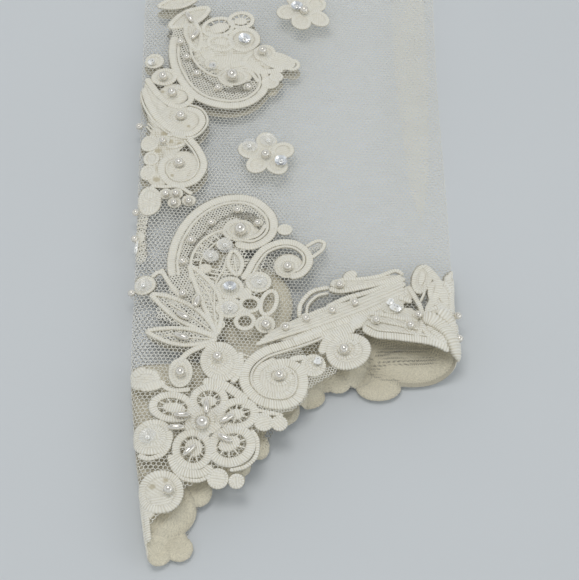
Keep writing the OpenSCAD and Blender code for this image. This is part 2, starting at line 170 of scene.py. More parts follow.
def palm_height(x, y):
    """Height of the palm layer above the table."""
    bare = ramp(x, 0, 26) * ramp(y, 4, 40) * (1 - ramp(y, 190, 222))
    rim = ramp(hand_edge(x) - y, 0, 8)
    z = PALM_Z + 0.2 - 2.2 * bare - 2.2 * rim + 0.1 * np.sin(0.17 * x + 0.11 * y)
    return z + (PALM_Z + 0.2 - z) * ramp(y, HEM_Y - 30, HEM_Y)


def cloth(x, y, layer):
    """Where flat points x, y of a layer lie, in mm; past a fold they come back on the other."""
    side = np.full(len(x), float(layer))
    low, high = left_fold(y), right_fold(y)
    past_left, past_right = x < low, x > high
    x = np.where(past_left, 2 * low - x, np.where(past_right, 2 * high - x, x))
    side[past_left | past_right] *= -1
    roll = FOLD_WIDTH + 2 * hump(y, -20, 12)
    left = np.interp((x - low) / FOLD_WIDTH, ROLL_RUN, ROLL_TURN)
    right = np.interp((high - x) / roll, ROLL_RUN, ROLL_TURN)
    x = np.where(x - low < FOLD_WIDTH, low + FOLD_WIDTH * (1 - np.cos(left)), x)
    x = np.where(high - x < roll, high - roll * (1 - np.cos(right)), x)
    back, palm = back_height(x, y), palm_height(x, y)
    z = (back + palm) / 2 + side * (back - palm) / 2 * np.sin(left) * np.sin(right)
    # cloth that sinks also slides a little up the arm
    return np.stack([x, y + SLIDE * slack(x, y) + WRIST_Y, z], 1)


def lay(points, layer):
    """Lays flat points (x, y, height above the cloth), in mm, on the sleeve, in metres."""
    x, y, h = points.T
    nudge = 0.03
    along_x = cloth(x + nudge, y, layer) - cloth(x - nudge, y, layer)
    along_y = cloth(x, y + nudge, layer) - cloth(x, y - nudge, layer)
    normal = np.cross(along_x, along_y) * layer
    normal /= np.maximum(np.linalg.norm(normal, axis=1), 1e-12)[:, None]
    return (cloth(x, y, layer) + normal * h[:, None]) * MM


# ---- materials ---------------------------------------------------------------------
def new_material(name, colour, **sockets):
    """Principled material with the given values on its sockets."""
    material = bpy.data.materials.new(name)
    material.use_nodes = True
    nodes = material.node_tree.nodes
    shader = nodes["Principled BSDF"]
    shader.inputs["Base Color"].default_value = (*colour, 1)
    for socket, value in sockets.items():
        shader.inputs[socket.replace("_", " ")].default_value = value
    return material, material.node_tree, shader


def mottled(tree, shader, colour_a, colour_b, scale, detail=4.0):
    """Cloudy mix of two close shades of one colour."""
    place = tree.nodes.new("ShaderNodeTexCoord")
    noise = tree.nodes.new("ShaderNodeTexNoise")
    noise.inputs["Scale"].default_value = scale
    noise.inputs["Detail"].default_value = detail
    blend = tree.nodes.new("ShaderNodeValToRGB")
    blend.color_ramp.elements[0].position = 0.35
    blend.color_ramp.elements[1].position = 0.65
    blend.color_ramp.elements[0].color = (*colour_a, 1)
    blend.color_ramp.elements[1].color = (*colour_b, 1)
    tree.links.new(place.outputs["Object"], noise.inputs["Vector"])
    tree.links.new(noise.outputs["Fac"], blend.inputs["Fac"])
    tree.links.new(blend.outputs["Color"], shader.inputs["Base Color"])
    return place


def fuzzy(tree, shader, place, scale, depth, strength=0.6):
    """Fine raised grain, as on spun thread."""
    grain = tree.nodes.new("ShaderNodeTexNoise")
    grain.inputs["Scale"].default_value = scale
    grain.inputs["Detail"].default_value = 3
    bump = tree.nodes.new("ShaderNodeBump")
    bump.inputs["Strength"].default_value = strength
    bump.inputs["Distance"].default_value = depth
    tree.links.new(place.outputs["Object"], grain.inputs["Vector"])
    tree.links.new(grain.outputs["Fac"], bump.inputs["Height"])
    tree.links.new(bump.outputs["Normal"], shader.inputs["Normal"])


def shade(colour, factor):
    """The colour made darker or lighter."""
    return tuple(c * factor for c in colour)


def stitch_shade_and_highlight(tree, shader, colour_a, colour_b):
    """Painted shade between the stitches and painted highlight on their backs, mixed by the stitch
    attribute.
    """
    tone = tree.nodes.new("ShaderNodeAttribute")
    tone.attribute_name = "stitch"
    blend = tree.nodes.new("ShaderNodeValToRGB")
    blend.color_ramp.elements[0].color = (*colour_a, 1)
    blend.color_ramp.elements[1].color = (*colour_b, 1)
    tree.links.new(tone.outputs["Fac"], blend.inputs["Fac"])
    tree.links.new(blend.outputs["Color"], shader.inputs["Base Color"])
    return tree.nodes.new("ShaderNodeTexCoord")


def lace_thread(look):
    """Right side of the lace: satin thread, with painted shade between the stitches and painted
    highlight on their backs.
    """
    colour = tuple(look.thread_colour)
    material, tree, shader = new_material(
        "lace_thread", colour, Roughness=0.42, Sheen_Weight=0.1, Sheen_Roughness=0.4,
        Subsurface_Weight=0.1, Subsurface_Scale=0.0003, Subsurface_Radius=(1, 0.9, 0.7))
    r, g, b = colour
    # warm dark painted shade in the grooves, painted highlight on the stitch backs
    place = stitch_shade_and_highlight(tree, shader, (r * 0.66, g * 0.61, b * 0.5), (r * 1.09, g * 1.1, b * 1.14))
    fuzzy(tree, shader, place, 2600, 0.00016)
    return material


def lace_wrong_side_in_shade(look):
    """Wrong side of the lace: dull and felted, with painted shade in grooves, undersides and hole spots
    and painted highlight on the stitch backs.
    """
    colour = tuple(look.wrong_side_shade_colour)
    material, tree, shader = new_material(
        "lace_wrong_side_in_shade", colour, Roughness=0.85, Sheen_Weight=0.15, Sheen_Roughness=0.6)
    # deep painted shade for grooves, undersides and hole spots; painted highlight on the stitch backs
    place = stitch_shade_and_highlight(tree, shader, shade(colour, 0.35), shade(colour, 1.3))
    fuzzy(tree, shader, place, 1900, 0.0003, 0.9)
    return material


def net_thread(look):
    """Fine half-clear thread of the net."""
    colour = tuple(look.net_colour)
    material, tree, shader = new_material(
        "net_thread", colour, Roughness=0.45, Alpha=0.75)
    mottled(tree, shader, shade(colour, 0.98), shade(colour, 1.02), 120)
    return material


def pearl_coat(look):
    """Nacre coat of the pearls."""
    colour = tuple(look.pearl_colour)
    material, tree, shader = new_material(
        "pearl_coat", colour, Roughness=0.16, Metallic=0.6, Coat_Weight=1.0,
        Coat_Roughness=0.03, Coat_IOR=1.7)
    mottled(tree, shader, shade(colour, 0.94), shade(colour, 1.03), 420)
    return material


def clear_sequin(look):
    """Clear film of the plain sequins."""
    colour = tuple(look.sequin_colour)
    material, tree, shader = new_material(
        "clear_sequin", colour, Roughness=0.08, Alpha=0.16, Coat_Weight=1.0, Coat_Roughness=0.03)
    mottled(tree, shader, shade(colour, 0.97), shade(colour, 1.02), 700)
    return material


def bright_sequin(look):
    """Silvered film of the bright sequins."""
    colour = tuple(look.sequin_colour)
    material, tree, shader = new_material(
        "bright_sequin", colour, Roughness=0.12, Metallic=0.85,
        Thin_Film_Thickness=380.0, Thin_Film_IOR=1.4)
    mottled(tree, shader, shade(colour, 0.95), shade(colour, 1.04), 700)
    return material


def cut_glass(look):
    """Foiled glass of the crystals, seed beads and bugle bead."""
    colour = tuple(look.glass_colour)
    material, tree, shader = new_material(
        "cut_glass", colour, Roughness=0.04, Metallic=0.5, IOR=1.6, Coat_Weight=1.0)
    mottled(tree, shader, shade(colour, 0.96), shade(colour, 1.03), 300)
    return material


def ribbed_elastic(look):
    """Flat elastic with ribs across it."""
    colour = tuple(look.hem_colour)
    material, tree, shader = new_material("ribbed_elastic", colour, Roughness=0.7, Sheen_Weight=0.2)
    place = mottled(tree, shader, shade(colour, 0.93), shade(colour, 1.02), 800)
    ribs = tree.nodes.new("ShaderNodeTexWave")
    ribs.bands_direction = "Y"
    ribs.inputs["Scale"].default_value = 260
    bump = tree.nodes.new("ShaderNodeBump")
    bump.inputs["Distance"].default_value = 0.0002
    tree.links.new(place.outputs["Object"], ribs.inputs["Vector"])
    tree.links.new(ribs.outputs["Fac"], bump.inputs["Height"])
    tree.links.new(bump.outputs["Normal"], shader.inputs["Normal"])
    return material


def hem_tricot(look):
    """Fine knitted casing at the elbow."""
    colour = tuple(look.hem_colour)
    material, tree, shader = new_material(
        "hem_tricot", colour, Roughness=0.62, Sheen_Weight=0.3, Sheen_Roughness=0.5)
    place = mottled(tree, shader, shade(colour, 0.95), shade(colour, 1.02), 300)
    fuzzy(tree, shader, place, 4200, 0.00008)
    return material


MAKERS = {
    "lace_thread": lace_thread, "lace_wrong_side_in_shade": lace_wrong_side_in_shade, "net_thread": net_thread,
    "pearl_coat": pearl_coat, "clear_sequin": clear_sequin, "bright_sequin": bright_sequin,
    "cut_glass": cut_glass, "hem_tricot": hem_tricot, "ribbed_elastic": ribbed_elastic,
}


def finish_of(name):
    """The material of that name, made once."""
    return bpy.data.materials.get(name) or MAKERS[name](bpy.context.scene.glove_look)


# ---- mesh building -----------------------------------------------------------------
def new_piece(name, points, face_groups, sides, materials, flat=None, tones=None):
    """Makes a smooth mesh object from points in metres and groups of faces of equal size."""
    mesh = bpy.data.meshes.new(name)
    corners = np.concatenate([g.ravel() for g in face_groups]).astype(np.int32)
    sizes = np.concatenate([np.full(len(g), g.shape[1]) for g in face_groups])
    starts = np.concatenate([[0], np.cumsum(sizes)[:-1]]).astype(np.int32)
    mesh.vertices.add(len(points))
    mesh.vertices.foreach_set("co", points.astype(np.float32).ravel())
    mesh.loops.add(len(corners))
    mesh.loops.foreach_set("vertex_index", corners)
    mesh.polygons.add(len(sizes))
    mesh.polygons.foreach_set("loop_start", starts)
    mesh.polygons.foreach_set("material_index", np.asarray(sides, np.int32))
    mesh.polygons.foreach_set("use_smooth", np.ones(len(sizes), bool))
    for material in materials:
        mesh.materials.append(finish_of(material))
    spread = points[:, :2] if flat is None else flat[:, :2]
    low, high = spread.min(0), spread.max(0)
    chart = (spread - low) / np.maximum(high - low, 1e-9) * [0.48, 0.98] + 0.01
    chart = chart[corners]
    chart[:, 0] += 0.5 * np.repeat(np.asarray(sides) > 0, sizes)
    uv = mesh.uv_layers.new(name="OFBake")
    uv.data.foreach_set("uv", chart.astype(np.float32).ravel())
    # the stitch attribute carries painted shade and painted highlight for the lace materials
    tone = mesh.attributes.new("stitch", "FLOAT", "POINT")
    tone.data.foreach_set("value", np.full(len(points), PLAIN_TONE) if tones is None else tones)
    mesh.update(calc_edges=True)
    mesh.validate()
    piece = bpy.data.objects.new(name, mesh)
    bpy.context.scene.collection.objects.link(piece)
    return piece


def settle(piece, slot, *nodes):
    """Fixes a piece to the glove and hides the CAD nodes that it stands for."""
    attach(piece, BODY)
    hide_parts(*nodes)
    return piece


def smooth_path(path, step, closed=False):
    """Even points, step apart, on a smooth curve through the given ones."""
    p = np.asarray(path, float)
    n = len(p)
    spans = n if closed else n - 1
    t = np.linspace(0, 1, 16, endpoint=False)[:, None]
    pieces = []
    for i in range(spans):
        if closed:
            a, b, c, d = (p[(i + k) % n] for k in (-1, 0, 1, 2))
        else:
            a, b, c, d = p[max(i - 1, 0)], p[i], p[i + 1], p[min(i + 2, n - 1)]
        pieces.append(0.5 * (2 * b + (c - a) * t + (2 * a - 5 * b + 4 * c - d) * t**2
                             + (3 * b - a - 3 * c + d) * t**3))
    line = np.concatenate([*pieces, p[:1] if closed else p[-1:]])
    run = np.concatenate([[0], np.cumsum(np.linalg.norm(np.diff(line, axis=0), axis=1))])
    count = max(4, int(round(run[-1] / step)))
    at = np.linspace(0, run[-1], count + 1)
    even = np.stack([np.interp(at, run, line[:, k]) for k in (0, 1)], 1)
    return (even[:-1], at[:-1], run[-1]) if closed else (even, at, run[-1])


def beside(path, offset):
    """A path that runs along the given one, offset to its left."""
    line = smooth_path(path, 1.3)[0]
    ahead = np.gradient(line, axis=0)
    ahead /= np.linalg.norm(ahead, axis=1)[:, None]
    return line + offset * np.stack([-ahead[:, 1], ahead[:, 0]], 1)


def hole_shade(rows, spots):
    """How deep the painted shade that stands for holes is at flat spots, from 0 to 1.

    Each row is a path and a width: painted hole spots stand in rows beside a path, and a path of one
    point is a single painted hole.
    """
    x, y = spots.T
    grid = np.cos(2 * math.pi * (x + 0.5 * y) / 1.15) * np.cos(2 * math.pi * y / 1.9)
    mesh_holes = np.clip(1.5 * grid**2 - 0.15, 0, 1)
    hole_shade_share = np.zeros(len(spots))
    for path, width in rows:
        single = len(path) == 1
        line = np.array(path) if single else smooth_path(path, 0.4)[0]
        away = np.linalg.norm(spots[:, None] - line[None], axis=2).min(1)
        near = np.clip(2 - 2 * away / width, 0, 1)
        hole_shade_share = np.maximum(hole_shade_share, near if single else near * mesh_holes)
    return hole_shade_share


def oval_path(centre, radii, turn=0, count=16):
    """Points round an oval."""
    angle = np.linspace(0, 2 * math.pi, count, endpoint=False)
    c, s = math.cos(math.radians(turn)), math.sin(math.radians(turn))
    x, y = radii[0] * np.cos(angle), radii[1] * np.sin(angle)
    return np.stack([centre[0] + c * x - s * y, centre[1] + s * x + c * y], 1)


def honeycomb(inside, mine, corner, pitch, width, height, tilt=0):
    """Closed threads on the edges of a hexagon net; inside and mine test plan points."""
    row = pitch * math.sqrt(3) / 2
    arm = pitch / math.sqrt(3)
    (x0, y0), (x1, y1) = corner
    reach = max(x1 - x0, y1 - y0) * 0.15 * (tilt != 0) + 3 * pitch
    cols = np.arange(int((x0 - reach) / pitch), int((x1 + reach) / pitch) + 1)
    rows = np.arange(int((y0 - reach) / row), int((y1 + reach) / row) + 1)
    c, r = (g.ravel() for g in np.meshgrid(cols, rows))
    turn = math.radians(tilt)
    spin = np.array([[math.cos(turn), math.sin(turn)], [-math.sin(turn), math.cos(turn)]])
    centre = np.stack([(c + 0.5 * (r % 2)) * pitch, r * row], 1)
    wide = len(cols)
    where = np.full(len(rows) * wide, -1)
    where[(r - rows[0]) * wide + (c - cols[0])] = np.arange(len(c))
    tops = centre + [0, arm]
    foots = centre - [0, arm]

    def neighbour(dc, dr):
        cc, rr = c + dc, r + dr
        good = (cc >= cols[0]) & (cc <= cols[-1]) & (rr >= rows[0]) & (rr <= rows[-1])
        out = np.full(len(c), -1)
        out[good] = where[(rr[good] - rows[0]) * wide + cc[good] - cols[0]]
        return out

    odd = r % 2
    # each cell owns the node at its top, which threads join to the feet of three cells above
    links = [neighbour(0, 2), neighbour(odd - 1, 1), neighbour(odd, 1)]
    tops_in = inside(tops @ spin) & mine(tops @ spin)
    foots_in = inside(foots @ spin)
    n = len(c)

    def star(first, at):
        angle = np.radians([first, first + 120, first + 240])
        gap = (width(at) if callable(width) else np.full(len(at), width)) / math.sqrt(3)
        return gap[:, None, None] * np.stack([np.cos(angle), np.sin(angle)], 1)

    top_corners = tops[:, None] + star(30, tops)
    foot_corners = foots[:, None] + star(90, foots)
    points = np.zeros((n, 8, 3))
    points[:, 0, :2], points[:, 1:4, :2] = tops, top_corners
    points[:, 4, :2], points[:, 5:8, :2] = foots, foot_corners
    points[:, 0, 2] = points[:, 4, 2] = height
    # thread k of a top node runs between its corners a and b and a foot node's corners
    runs = [(1, 2, 7, 6), (2, 3, 5, 7), (3, 1, 6, 5)]
    quads = []
    foot_used = np.zeros((n, 3), bool)
    top_used = np.zeros((n, 3), bool)
    for k, (target, (a, b, fa, fb)) in enumerate(zip(links, runs)):
        go = tops_in & (target >= 0)
        go[go] = foots_in[target[go]]
        i, j = np.flatnonzero(go), target[go]
        top_used[i, k] = True
        foot_used[j, k] = True
        ta, tb, tt = i * 8 + a, i * 8 + b, i * 8
        ga, gb, ft = j * 8 + fa, j * 8 + fb, j * 8 + 4
        quads += [np.stack([ta, tt, ft, ga], 1), np.stack([tt, tb, gb, ft], 1),
                  np.stack([tb, ta, ga, gb], 1)]
    # triangles close the nodes: on top, below, and where a node lacks a thread
    tris = []
    used_top = top_used.any(1)
    used_foot = foot_used.any(1)
    for k, (a, b, fa, fb) in enumerate(runs):
        i = np.flatnonzero(used_top & ~top_used[:, k])
        tris.append(np.stack([i * 8 + a, i * 8 + b, i * 8], 1))
        j = np.flatnonzero(used_foot & ~foot_used[:, k])
        tris.append(np.stack([j * 8 + fb, j * 8 + fa, j * 8 + 4], 1))
    i, j = np.flatnonzero(used_top), np.flatnonzero(used_foot)
    tris.append(np.stack([i * 8 + 3, i * 8 + 2, i * 8 + 1], 1))
    tris.append(np.stack([j * 8 + 7, j * 8 + 6, j * 8 + 5], 1))
    quads, tris = np.concatenate(quads), np.concatenate(tris)
    flat = points.reshape(-1, 3)
    flat[:, :2] = flat[:, :2] @ spin
    # drop the corners that no face uses
    keep = np.zeros(len(flat), bool)
    keep[quads.ravel()] = True
    keep[tris.ravel()] = True
    renumber = np.cumsum(keep) - 1
    return flat[keep], renumber[quads], renumber[tris]


class Work:
    """Stitches laid out flat, in mm: x and y on the cloth and a height above it."""

    def __init__(self, depth=0.55, step=0.17):
        self.depth = depth
        self.step = step
        self.points, self.tones, self.quads, self.caps = [], [], [], []
        self.count = 0
        self.shapes = 0
        self.chance = np.random.default_rng(7)

    def bed(self):
        """Height at which the next shape lies, so that crossing stitches seldom share a surface."""
        return 0.02 + 0.012 * (self.shapes % 9)

    def add(self, points, quads, sides, caps=(), tones=PLAIN_TONE):
        """Adds one closed shape; its tones run from 0, painted shade between stitches, to 1, painted
        highlight on their backs.
        """
        self.points.append(points)
        self.tones.append(np.clip(np.broadcast_to(tones, len(points)), 0, 1))
        self.quads.append((quads + self.count, sides))
        for cap, side in caps:
            self.caps.append((cap + self.count, side))
        self.count += len(points)
        self.shapes += 1

    def band(self, path, width, height=0.42, lift=0.0, closed=False, dot=False,
             pitch=0.74, relief=0.16, slant=0.3, columns=9):
        """Satin-stitched band: a domed strip with a ridge for each stitch across it.

        A closed band has no ends, a dot is an oval in plan, and any other has round ends.
        """
        line, at, length = smooth_path(path, self.step, closed)
        rows = len(line)
        if closed:
            ahead = np.roll(line, -1, 0) - np.roll(line, 1, 0)
        else:
            ahead = np.gradient(line, axis=0)
        ahead /= np.maximum(np.linalg.norm(ahead, axis=1), 1e-9)[:, None]
        across = np.stack([-ahead[:, 1], ahead[:, 0]], 1)
        if closed:
            full = np.ones(rows)
        elif dot:
            full = np.sqrt(np.maximum(1 - (2 * at / length - 1) ** 2, 0))
        else:
            near = np.minimum(np.minimum(at, length - at) / (width / 2), 1)
            full = np.sqrt(np.maximum(1 - (1 - near) ** 2, 0))
        full = np.maximum(full, 0.04)
        stitches = max(1, int(round(length / pitch)))
        wave_run = at / length * stitches
        size = 0.6 + 0.8 * self.chance.random(stitches + 2)
        loose = 0.5 * self.chance.random(stitches + 2)
        t = np.linspace(-1, 1, columns)
        phase = wave_run[:, None] + slant * t[None] * full[:, None] * width / 2 / pitch * 0.5
        index = np.clip(phase.astype(int), 0, stitches + 1)
        ridge = np.cos(2 * math.pi * phase) * size[index]
        dome = np.maximum(1 - np.abs(t) ** 4, 0) ** 0.55
        low = self.bed() + lift
        swell = 0.3 + 0.7 * full[:, None] + 0.16 * (loose[index] - 0.25)
        h = low + height * dome * swell + self.depth * relief * ridge * dome**0.5
        ragged = 1 + (0.05 * ridge + 0.12 * (loose[index] - 0.25)) * np.abs(t) ** 6
        off = t * ragged * (full * width / 2)[:, None]
        top = line[:, None] + across[:, None] * off[..., None]
        under_t = np.array([0.62, -0.62])
        under = line[:, None] + across[:, None] * (under_t * (full * width / 2)[:, None])[..., None]
        under_h = low - 0.05 - 0.03 * ridge[:, [columns // 3, columns // 2]]
        points = np.concatenate([
            np.concatenate([top, h[..., None]], 2),
            np.concatenate([under, under_h[..., None]], 2)], 1).reshape(-1, 3)
        ring = columns + 2
        r = np.arange(rows if closed else rows - 1)[:, None]
        k = np.arange(ring)[None]
        nxt = (r + 1) % rows
        quads = np.stack([r * ring + k, r * ring + (k + 1) % ring,
                          nxt * ring + (k + 1) % ring, nxt * ring + k], -1)[..., ::-1]
        sides = np.broadcast_to(np.where(k >= columns - 1, WRONG_SIDE, THREAD), quads.shape[:2])
        caps = []
        if not closed:
            caps = [(np.arange(ring), THREAD), ((rows - 1) * ring + np.arange(ring)[::-1], THREAD)]
        # painted shade: the underside is dark, and the stitch grooves and band edges darker; painted
        # highlight on the stitch backs. The random part per stitch also matches how high that stitch
        # swells
        tone = np.full((rows, ring), 0.35)
        tone[:, :columns] = (0.68 + self.depth * (0.42 * ridge + 0.5 * (loose[index] - 0.25))
                             - 0.4 * np.abs(t) ** 8)
        self.add(points, quads.reshape(-1, 4), sides.ravel(), caps, tone.ravel())

    def cord(self, path, width=0.9, height=0.6, closed=False, lift=0.0):
        """Thin twisted cord laid on the cloth."""
        self.band(path, width, height * 0.8, lift, closed, pitch=0.8, relief=0.06, slant=1.8,
                  columns=5)

    def oval(self, centre, radii, turn=0, height=0.5, lift=0.0):
        """Padded dot or petal of parallel satin stitches."""
        angle = math.radians(turn)
        run = np.array([math.cos(angle), math.sin(angle)]) * radii[0]
        c = np.asarray(centre, float)
        self.band([c - run, c, c + run], 2 * radii[1], height, lift, dot=True,
                  relief=0.12, slant=0, columns=11)

    def double(self, path, width, inner=1.0, side=-1, height=0.45):
        """Satin band with a cord close along one side of it."""
        self.band(path, width, height)
        self.cord(beside(path, side * (width + inner - 0.25) / 2), inner, height + 0.2)

    def hoop(self, centre, radii, turn=0, width=1.4, height=0.45, lift=0.0):
        """Closed satin ring; radii are those of its middle line."""
        self.band(oval_path(centre, radii, turn), width, height, lift, True)

    def pad(self, centre, radii, height=0.25, turn=0, holes=()):
        """Felted oval that carries a bead or closes a ring."""
        self.plate(oval_path(centre, radii, turn), height, holes=holes)

    def petal(self, centre, radii, heart, turn=0, rim=2.4, spokes=9, gap=0.85, height=0.5):
        """Petal: a wide satin rim, a ring of pierced holes and a satin pad towards the heart."""
        c = np.asarray(centre, float)
        root = c + (np.asarray(heart, float) - c) * 0.07
        self.hoop(c, (radii[0] - rim / 2, radii[1] - rim / 2), turn, rim, height)
        self.cord(oval_path(c, (radii[0] - 0.4, radii[1] - 0.4), turn), 0.7, height - 0.1, True)
        edge = oval_path(c, (radii[0] - rim + 0.3, radii[1] - rim + 0.3), turn, spokes)
        for point in edge:
            self.band([point, root + (point - root) * 0.4], 0.62, 0.35, columns=5, relief=0.02)
        pad = (max(radii[0] - rim - gap, 0.7), max(radii[1] - rim - gap, 0.7))
        self.oval(root, pad, turn, 0.5)

    def leaf(self, tip, root, width, rim=1.0, bars=7, bend=0.0):
        """Leaf outlined in cord, with a vein and short bars over open net."""
        a, b = np.asarray(tip, float), np.asarray(root, float)
        run = b - a
        side = np.array([-run[1], run[0]]) / np.linalg.norm(run)
        t = np.linspace(0, 1, 9)
        axis = a + run * t[:, None] + side * (bend * np.sin(math.pi * t))[:, None]
        swell = (width / 2 - rim / 2) * np.sin(math.pi * t) ** 0.85
        upper = axis + side * swell[:, None]
        lower = axis - side * swell[:, None]
        self.band(upper, rim + 0.35, 0.6, columns=7)
        self.band(lower, rim + 0.35, 0.6, columns=7)
        self.cord(axis[2:], 0.8, 0.5)
        self.net_along(axis[1:-1], width * 0.75, 1.05, 0.42)
        for k in range(0, bars, 2):
            at = 0.2 + 0.65 * k / max(bars - 1, 1)
            mid, up, down = (np.array([np.interp(at + s, t, line[:, n]) for n in (0, 1)])
                             for line, s in ((axis, 0.05), (upper, 0), (lower, 0)))
            self.band([mid, up], 0.36, 0.25, columns=5, relief=0.02)
            self.band([mid, down], 0.36, 0.25, columns=5, relief=0.02)

    def ladder(self, path_a, path_b, bars, width=0.8):
        """Short bars between two edges."""
        a, b = (smooth_path(p, 0.2)[0] for p in (path_a, path_b))
        for k in range(bars):
            i, j = (int((k + 0.5) / bars * (len(line) - 1)) for line in (a, b))
            self.band([a[i], b[j]], width, 0.3, columns=5, relief=0.03)

    def net_along(self, path, width, pitch=0.85, thread=0.26, height=0.2):
        """Fine close net that fills a strip along a path."""
        line = smooth_path(path, 0.4)[0]
        low, high = line.min(0) - width, line.max(0) + width

        def inside(p):
            away = np.full(len(p), 1e9)
            box = ((p > low) & (p < high)).all(1)
            if box.any():
                gaps = np.linalg.norm(p[box][:, None] - line[None], axis=2).min(1)
                away[box] = gaps
            return away < width / 2

        points, quads, tris = honeycomb(inside, inside, (low, high), pitch, thread, height, 12)
        points[:, 2] += 0.03
        self.add(points, quads, np.zeros(len(quads), int), (), 0.8)
        for tri in tris:
            self.caps.append((tri + self.count - len(points), THREAD))

    def shifted(self, move):
        """Moves all that has been stitched so far."""
        for block in self.points:
            block[:, :2] += move
        return self

    def flipped(self, about=FLIP_Y, slide=0.0):
        """Turns the work over end for end along the sleeve."""
        for block in self.points:
            block[:, 1] = 2 * about - block[:, 1]
            block[:, 0] += slide
        self.quads = [(q[:, ::-1], s) for q, s in self.quads]
        self.caps = [(c[::-1], s) for c, s in self.caps]
        return self

    def sew(self, name, layer, *nodes):
        """Lays the stitched work on the sleeve as one piece."""
        flat = np.concatenate(self.points)
        quads = np.concatenate([q for q, _ in self.quads])
        sides = [np.concatenate([s for _, s in self.quads])]
        groups = [quads]
        for size in sorted({len(c) for c, _ in self.caps}):
            group = [(c, s) for c, s in self.caps if len(c) == size]
            groups.append(np.array([c for c, _ in group]))
            sides.append(np.array([s for _, s in group]))
        if layer == PALM:
            groups = [g[:, ::-1] for g in groups]
        piece = new_piece(name, lay(flat, layer), groups, np.concatenate(sides),
                          ["lace_thread", "lace_wrong_side_in_shade"], flat, np.concatenate(self.tones))
        return settle(piece, "lace" if layer == BACK else "lace_inside", *nodes)

    def plate(self, outline, height=0.3, sag=0.0, holes=()):
        """Solid felted or closely stitched area inside an outline; its holes are not cut but marked with
        painted shade, and its rim is darkened with painted shade.
        """
        line = smooth_path(outline, 0.3, True)[0]
        c = line.mean(0)
        n = len(line)
        rings = max(5, int(np.linalg.norm(line - c, axis=1).mean() / 0.27))
        f = np.linspace(0.03, 1, rings)
        rough = self.chance.normal(0, 0.014, (rings, n))
        ragged = self.chance.normal(0, 0.05, n) * (f[:, None] ** 8)
        flat = c + (line - c)[None] * f[:, None, None]
        flat += ((line - c) / np.linalg.norm(line - c, axis=1)[:, None])[None] * ragged[..., None]
        low = self.bed()
        dome = np.sqrt(np.maximum(1 - f**8, 0))[:, None]
        # each filling is stitched in a direction of its own
        turn = 0.9 * self.shapes
        run = flat[..., 0] * math.cos(turn) + flat[..., 1] * math.sin(turn)
        across = flat[..., 1] * math.cos(turn) - flat[..., 0] * math.sin(turn)
        wave = np.sin(2 * math.pi * run / 0.85 + 1.2 * np.sin(across * 0.9))
        stitch = 0.05 * wave * dome
        # painted shade: lighter on the stitch ridges and where random bumps stand higher, darker towards
        # the rim, and darkest where a hole is painted
        tone = 0.66 + self.depth * 0.3 * wave + 6 * rough - 0.25 * f[:, None] ** 9
        if holes:
            tone -= 0.75 * hole_shade(holes, flat.reshape(-1, 2)).reshape(tone.shape)
        top = np.concatenate([flat, (low + height * dome + rough + stitch)[..., None]], 2)
        under = np.concatenate([flat, (low - 0.08 * dome - sag + rough + 0.5 * stitch)[..., None]], 2)
        points = np.concatenate([top.reshape(-1, 3), under.reshape(-1, 3)])
        r, k = np.arange(rings - 1)[:, None], np.arange(n)[None]
        nxt = (k + 1) % n
        up = np.stack([r * n + k, (r + 1) * n + k, (r + 1) * n + nxt, r * n + nxt], -1)
        down = up[..., ::-1] + rings * n
        edge = (rings - 1) * n
        wall = np.stack([edge + k[0], rings * n + edge + k[0], rings * n + edge + nxt[0],
                         edge + nxt[0]], -1)
        quads = np.concatenate([up.reshape(-1, 4), down.reshape(-1, 4), wall])
        sides = np.concatenate([np.full(up.size // 4, THREAD), np.full(down.size // 4 + n, WRONG_SIDE)])
        ring = np.arange(n)
        self.add(points, quads, sides, [(ring, THREAD), (ring[::-1] + rings * n, WRONG_SIDE)],
                 np.concatenate([tone.ravel(), tone.ravel()]))


# ---- where the beads sit, as x, y and at times a turn, in mm from the wrist ----------
TIP_RICE = [(-24, -40.3, 90), (-31, -43, 0), (-32.5, -47, 0), (-28.5, -54, 45), (-18.5, -50.5, -30),
            (-18, -44.3, 30)]
TIP_HEART = (-25, -45.5)
BACK_LARGE = [TIP_HEART, (-15.5, 23.5), (-19, 86.5), (-25, 154.5), (-15.5, 201.5)]
HAND_MID = [(-34, -66.3), (-21.3, -23.5), (-3, -29.7), (16.3, -21), (-32, -28.3), (-7.3, -12.3),
            (-0.5, 8.8)]
CHAIN_MID = [(-35.5, 50), (-35.5, 69.3), (-38.8, 79), (-41.8, 86.2), (-9, 97.7)]
SMALL_FLOWERS = [(-7.5, 53), (5, 116), (-20, 178)]
EDGE_SMALL = [(-1.2, -13), (5, -10), (13, -7.5), (19.7, -5), (15.2, 2), (26, -11.8), (35.8, -14),
              (38.5, -10.2)]
CLUSTER_SMALL = [(-39.3, 37.3), (-36, 37.3), (-36.5, 33.7), (-32, 34.5)]
PAISLEY_SMALL = [(-33, 10.7), (-30.7, 19), (-24.5, 26), (-16.3, 30.7), (-9.8, 25.7)]
PAISLEY_FOOT = (-32.3, -1.2)
ARM_SMALL = [(-36.8, 101.5), (-34.5, 94.5), (-31, 87.3), (-23.7, 81), (-13.9, 81.8)]
BACK_SMALL = EDGE_SMALL + CLUSTER_SMALL + [PAISLEY_FOOT, (-41, 59)] + ARM_SMALL
LEAF_RICE = [(-32, -9.3, -35), (-32, -16.7, -25), (-28, -4, 75), (-32, 105, 60), (-34.3, 113, -60)]
BRIGHT_SEQUINS = [(-18.2, 1), (-15.5, 103.2), (-2.7, 50), (2.5, 117.5)]
CLEAR_SEQUINS = [(-40, -50), (-9.5, 3.5), (-18.2, -6.4), (-24.5, 13.2), (-20.2, 17.4), (-43.8, 2),
                 (-13, 56.5), (-7, 59)]
CRYSTALS = [(8.3, -25), (31, -6.8), (32.6, -7.4), (30.4, -5), (-26, 91.8), (-46, 93)]
BUGLES = [(-46.6, 16.3, 84)]
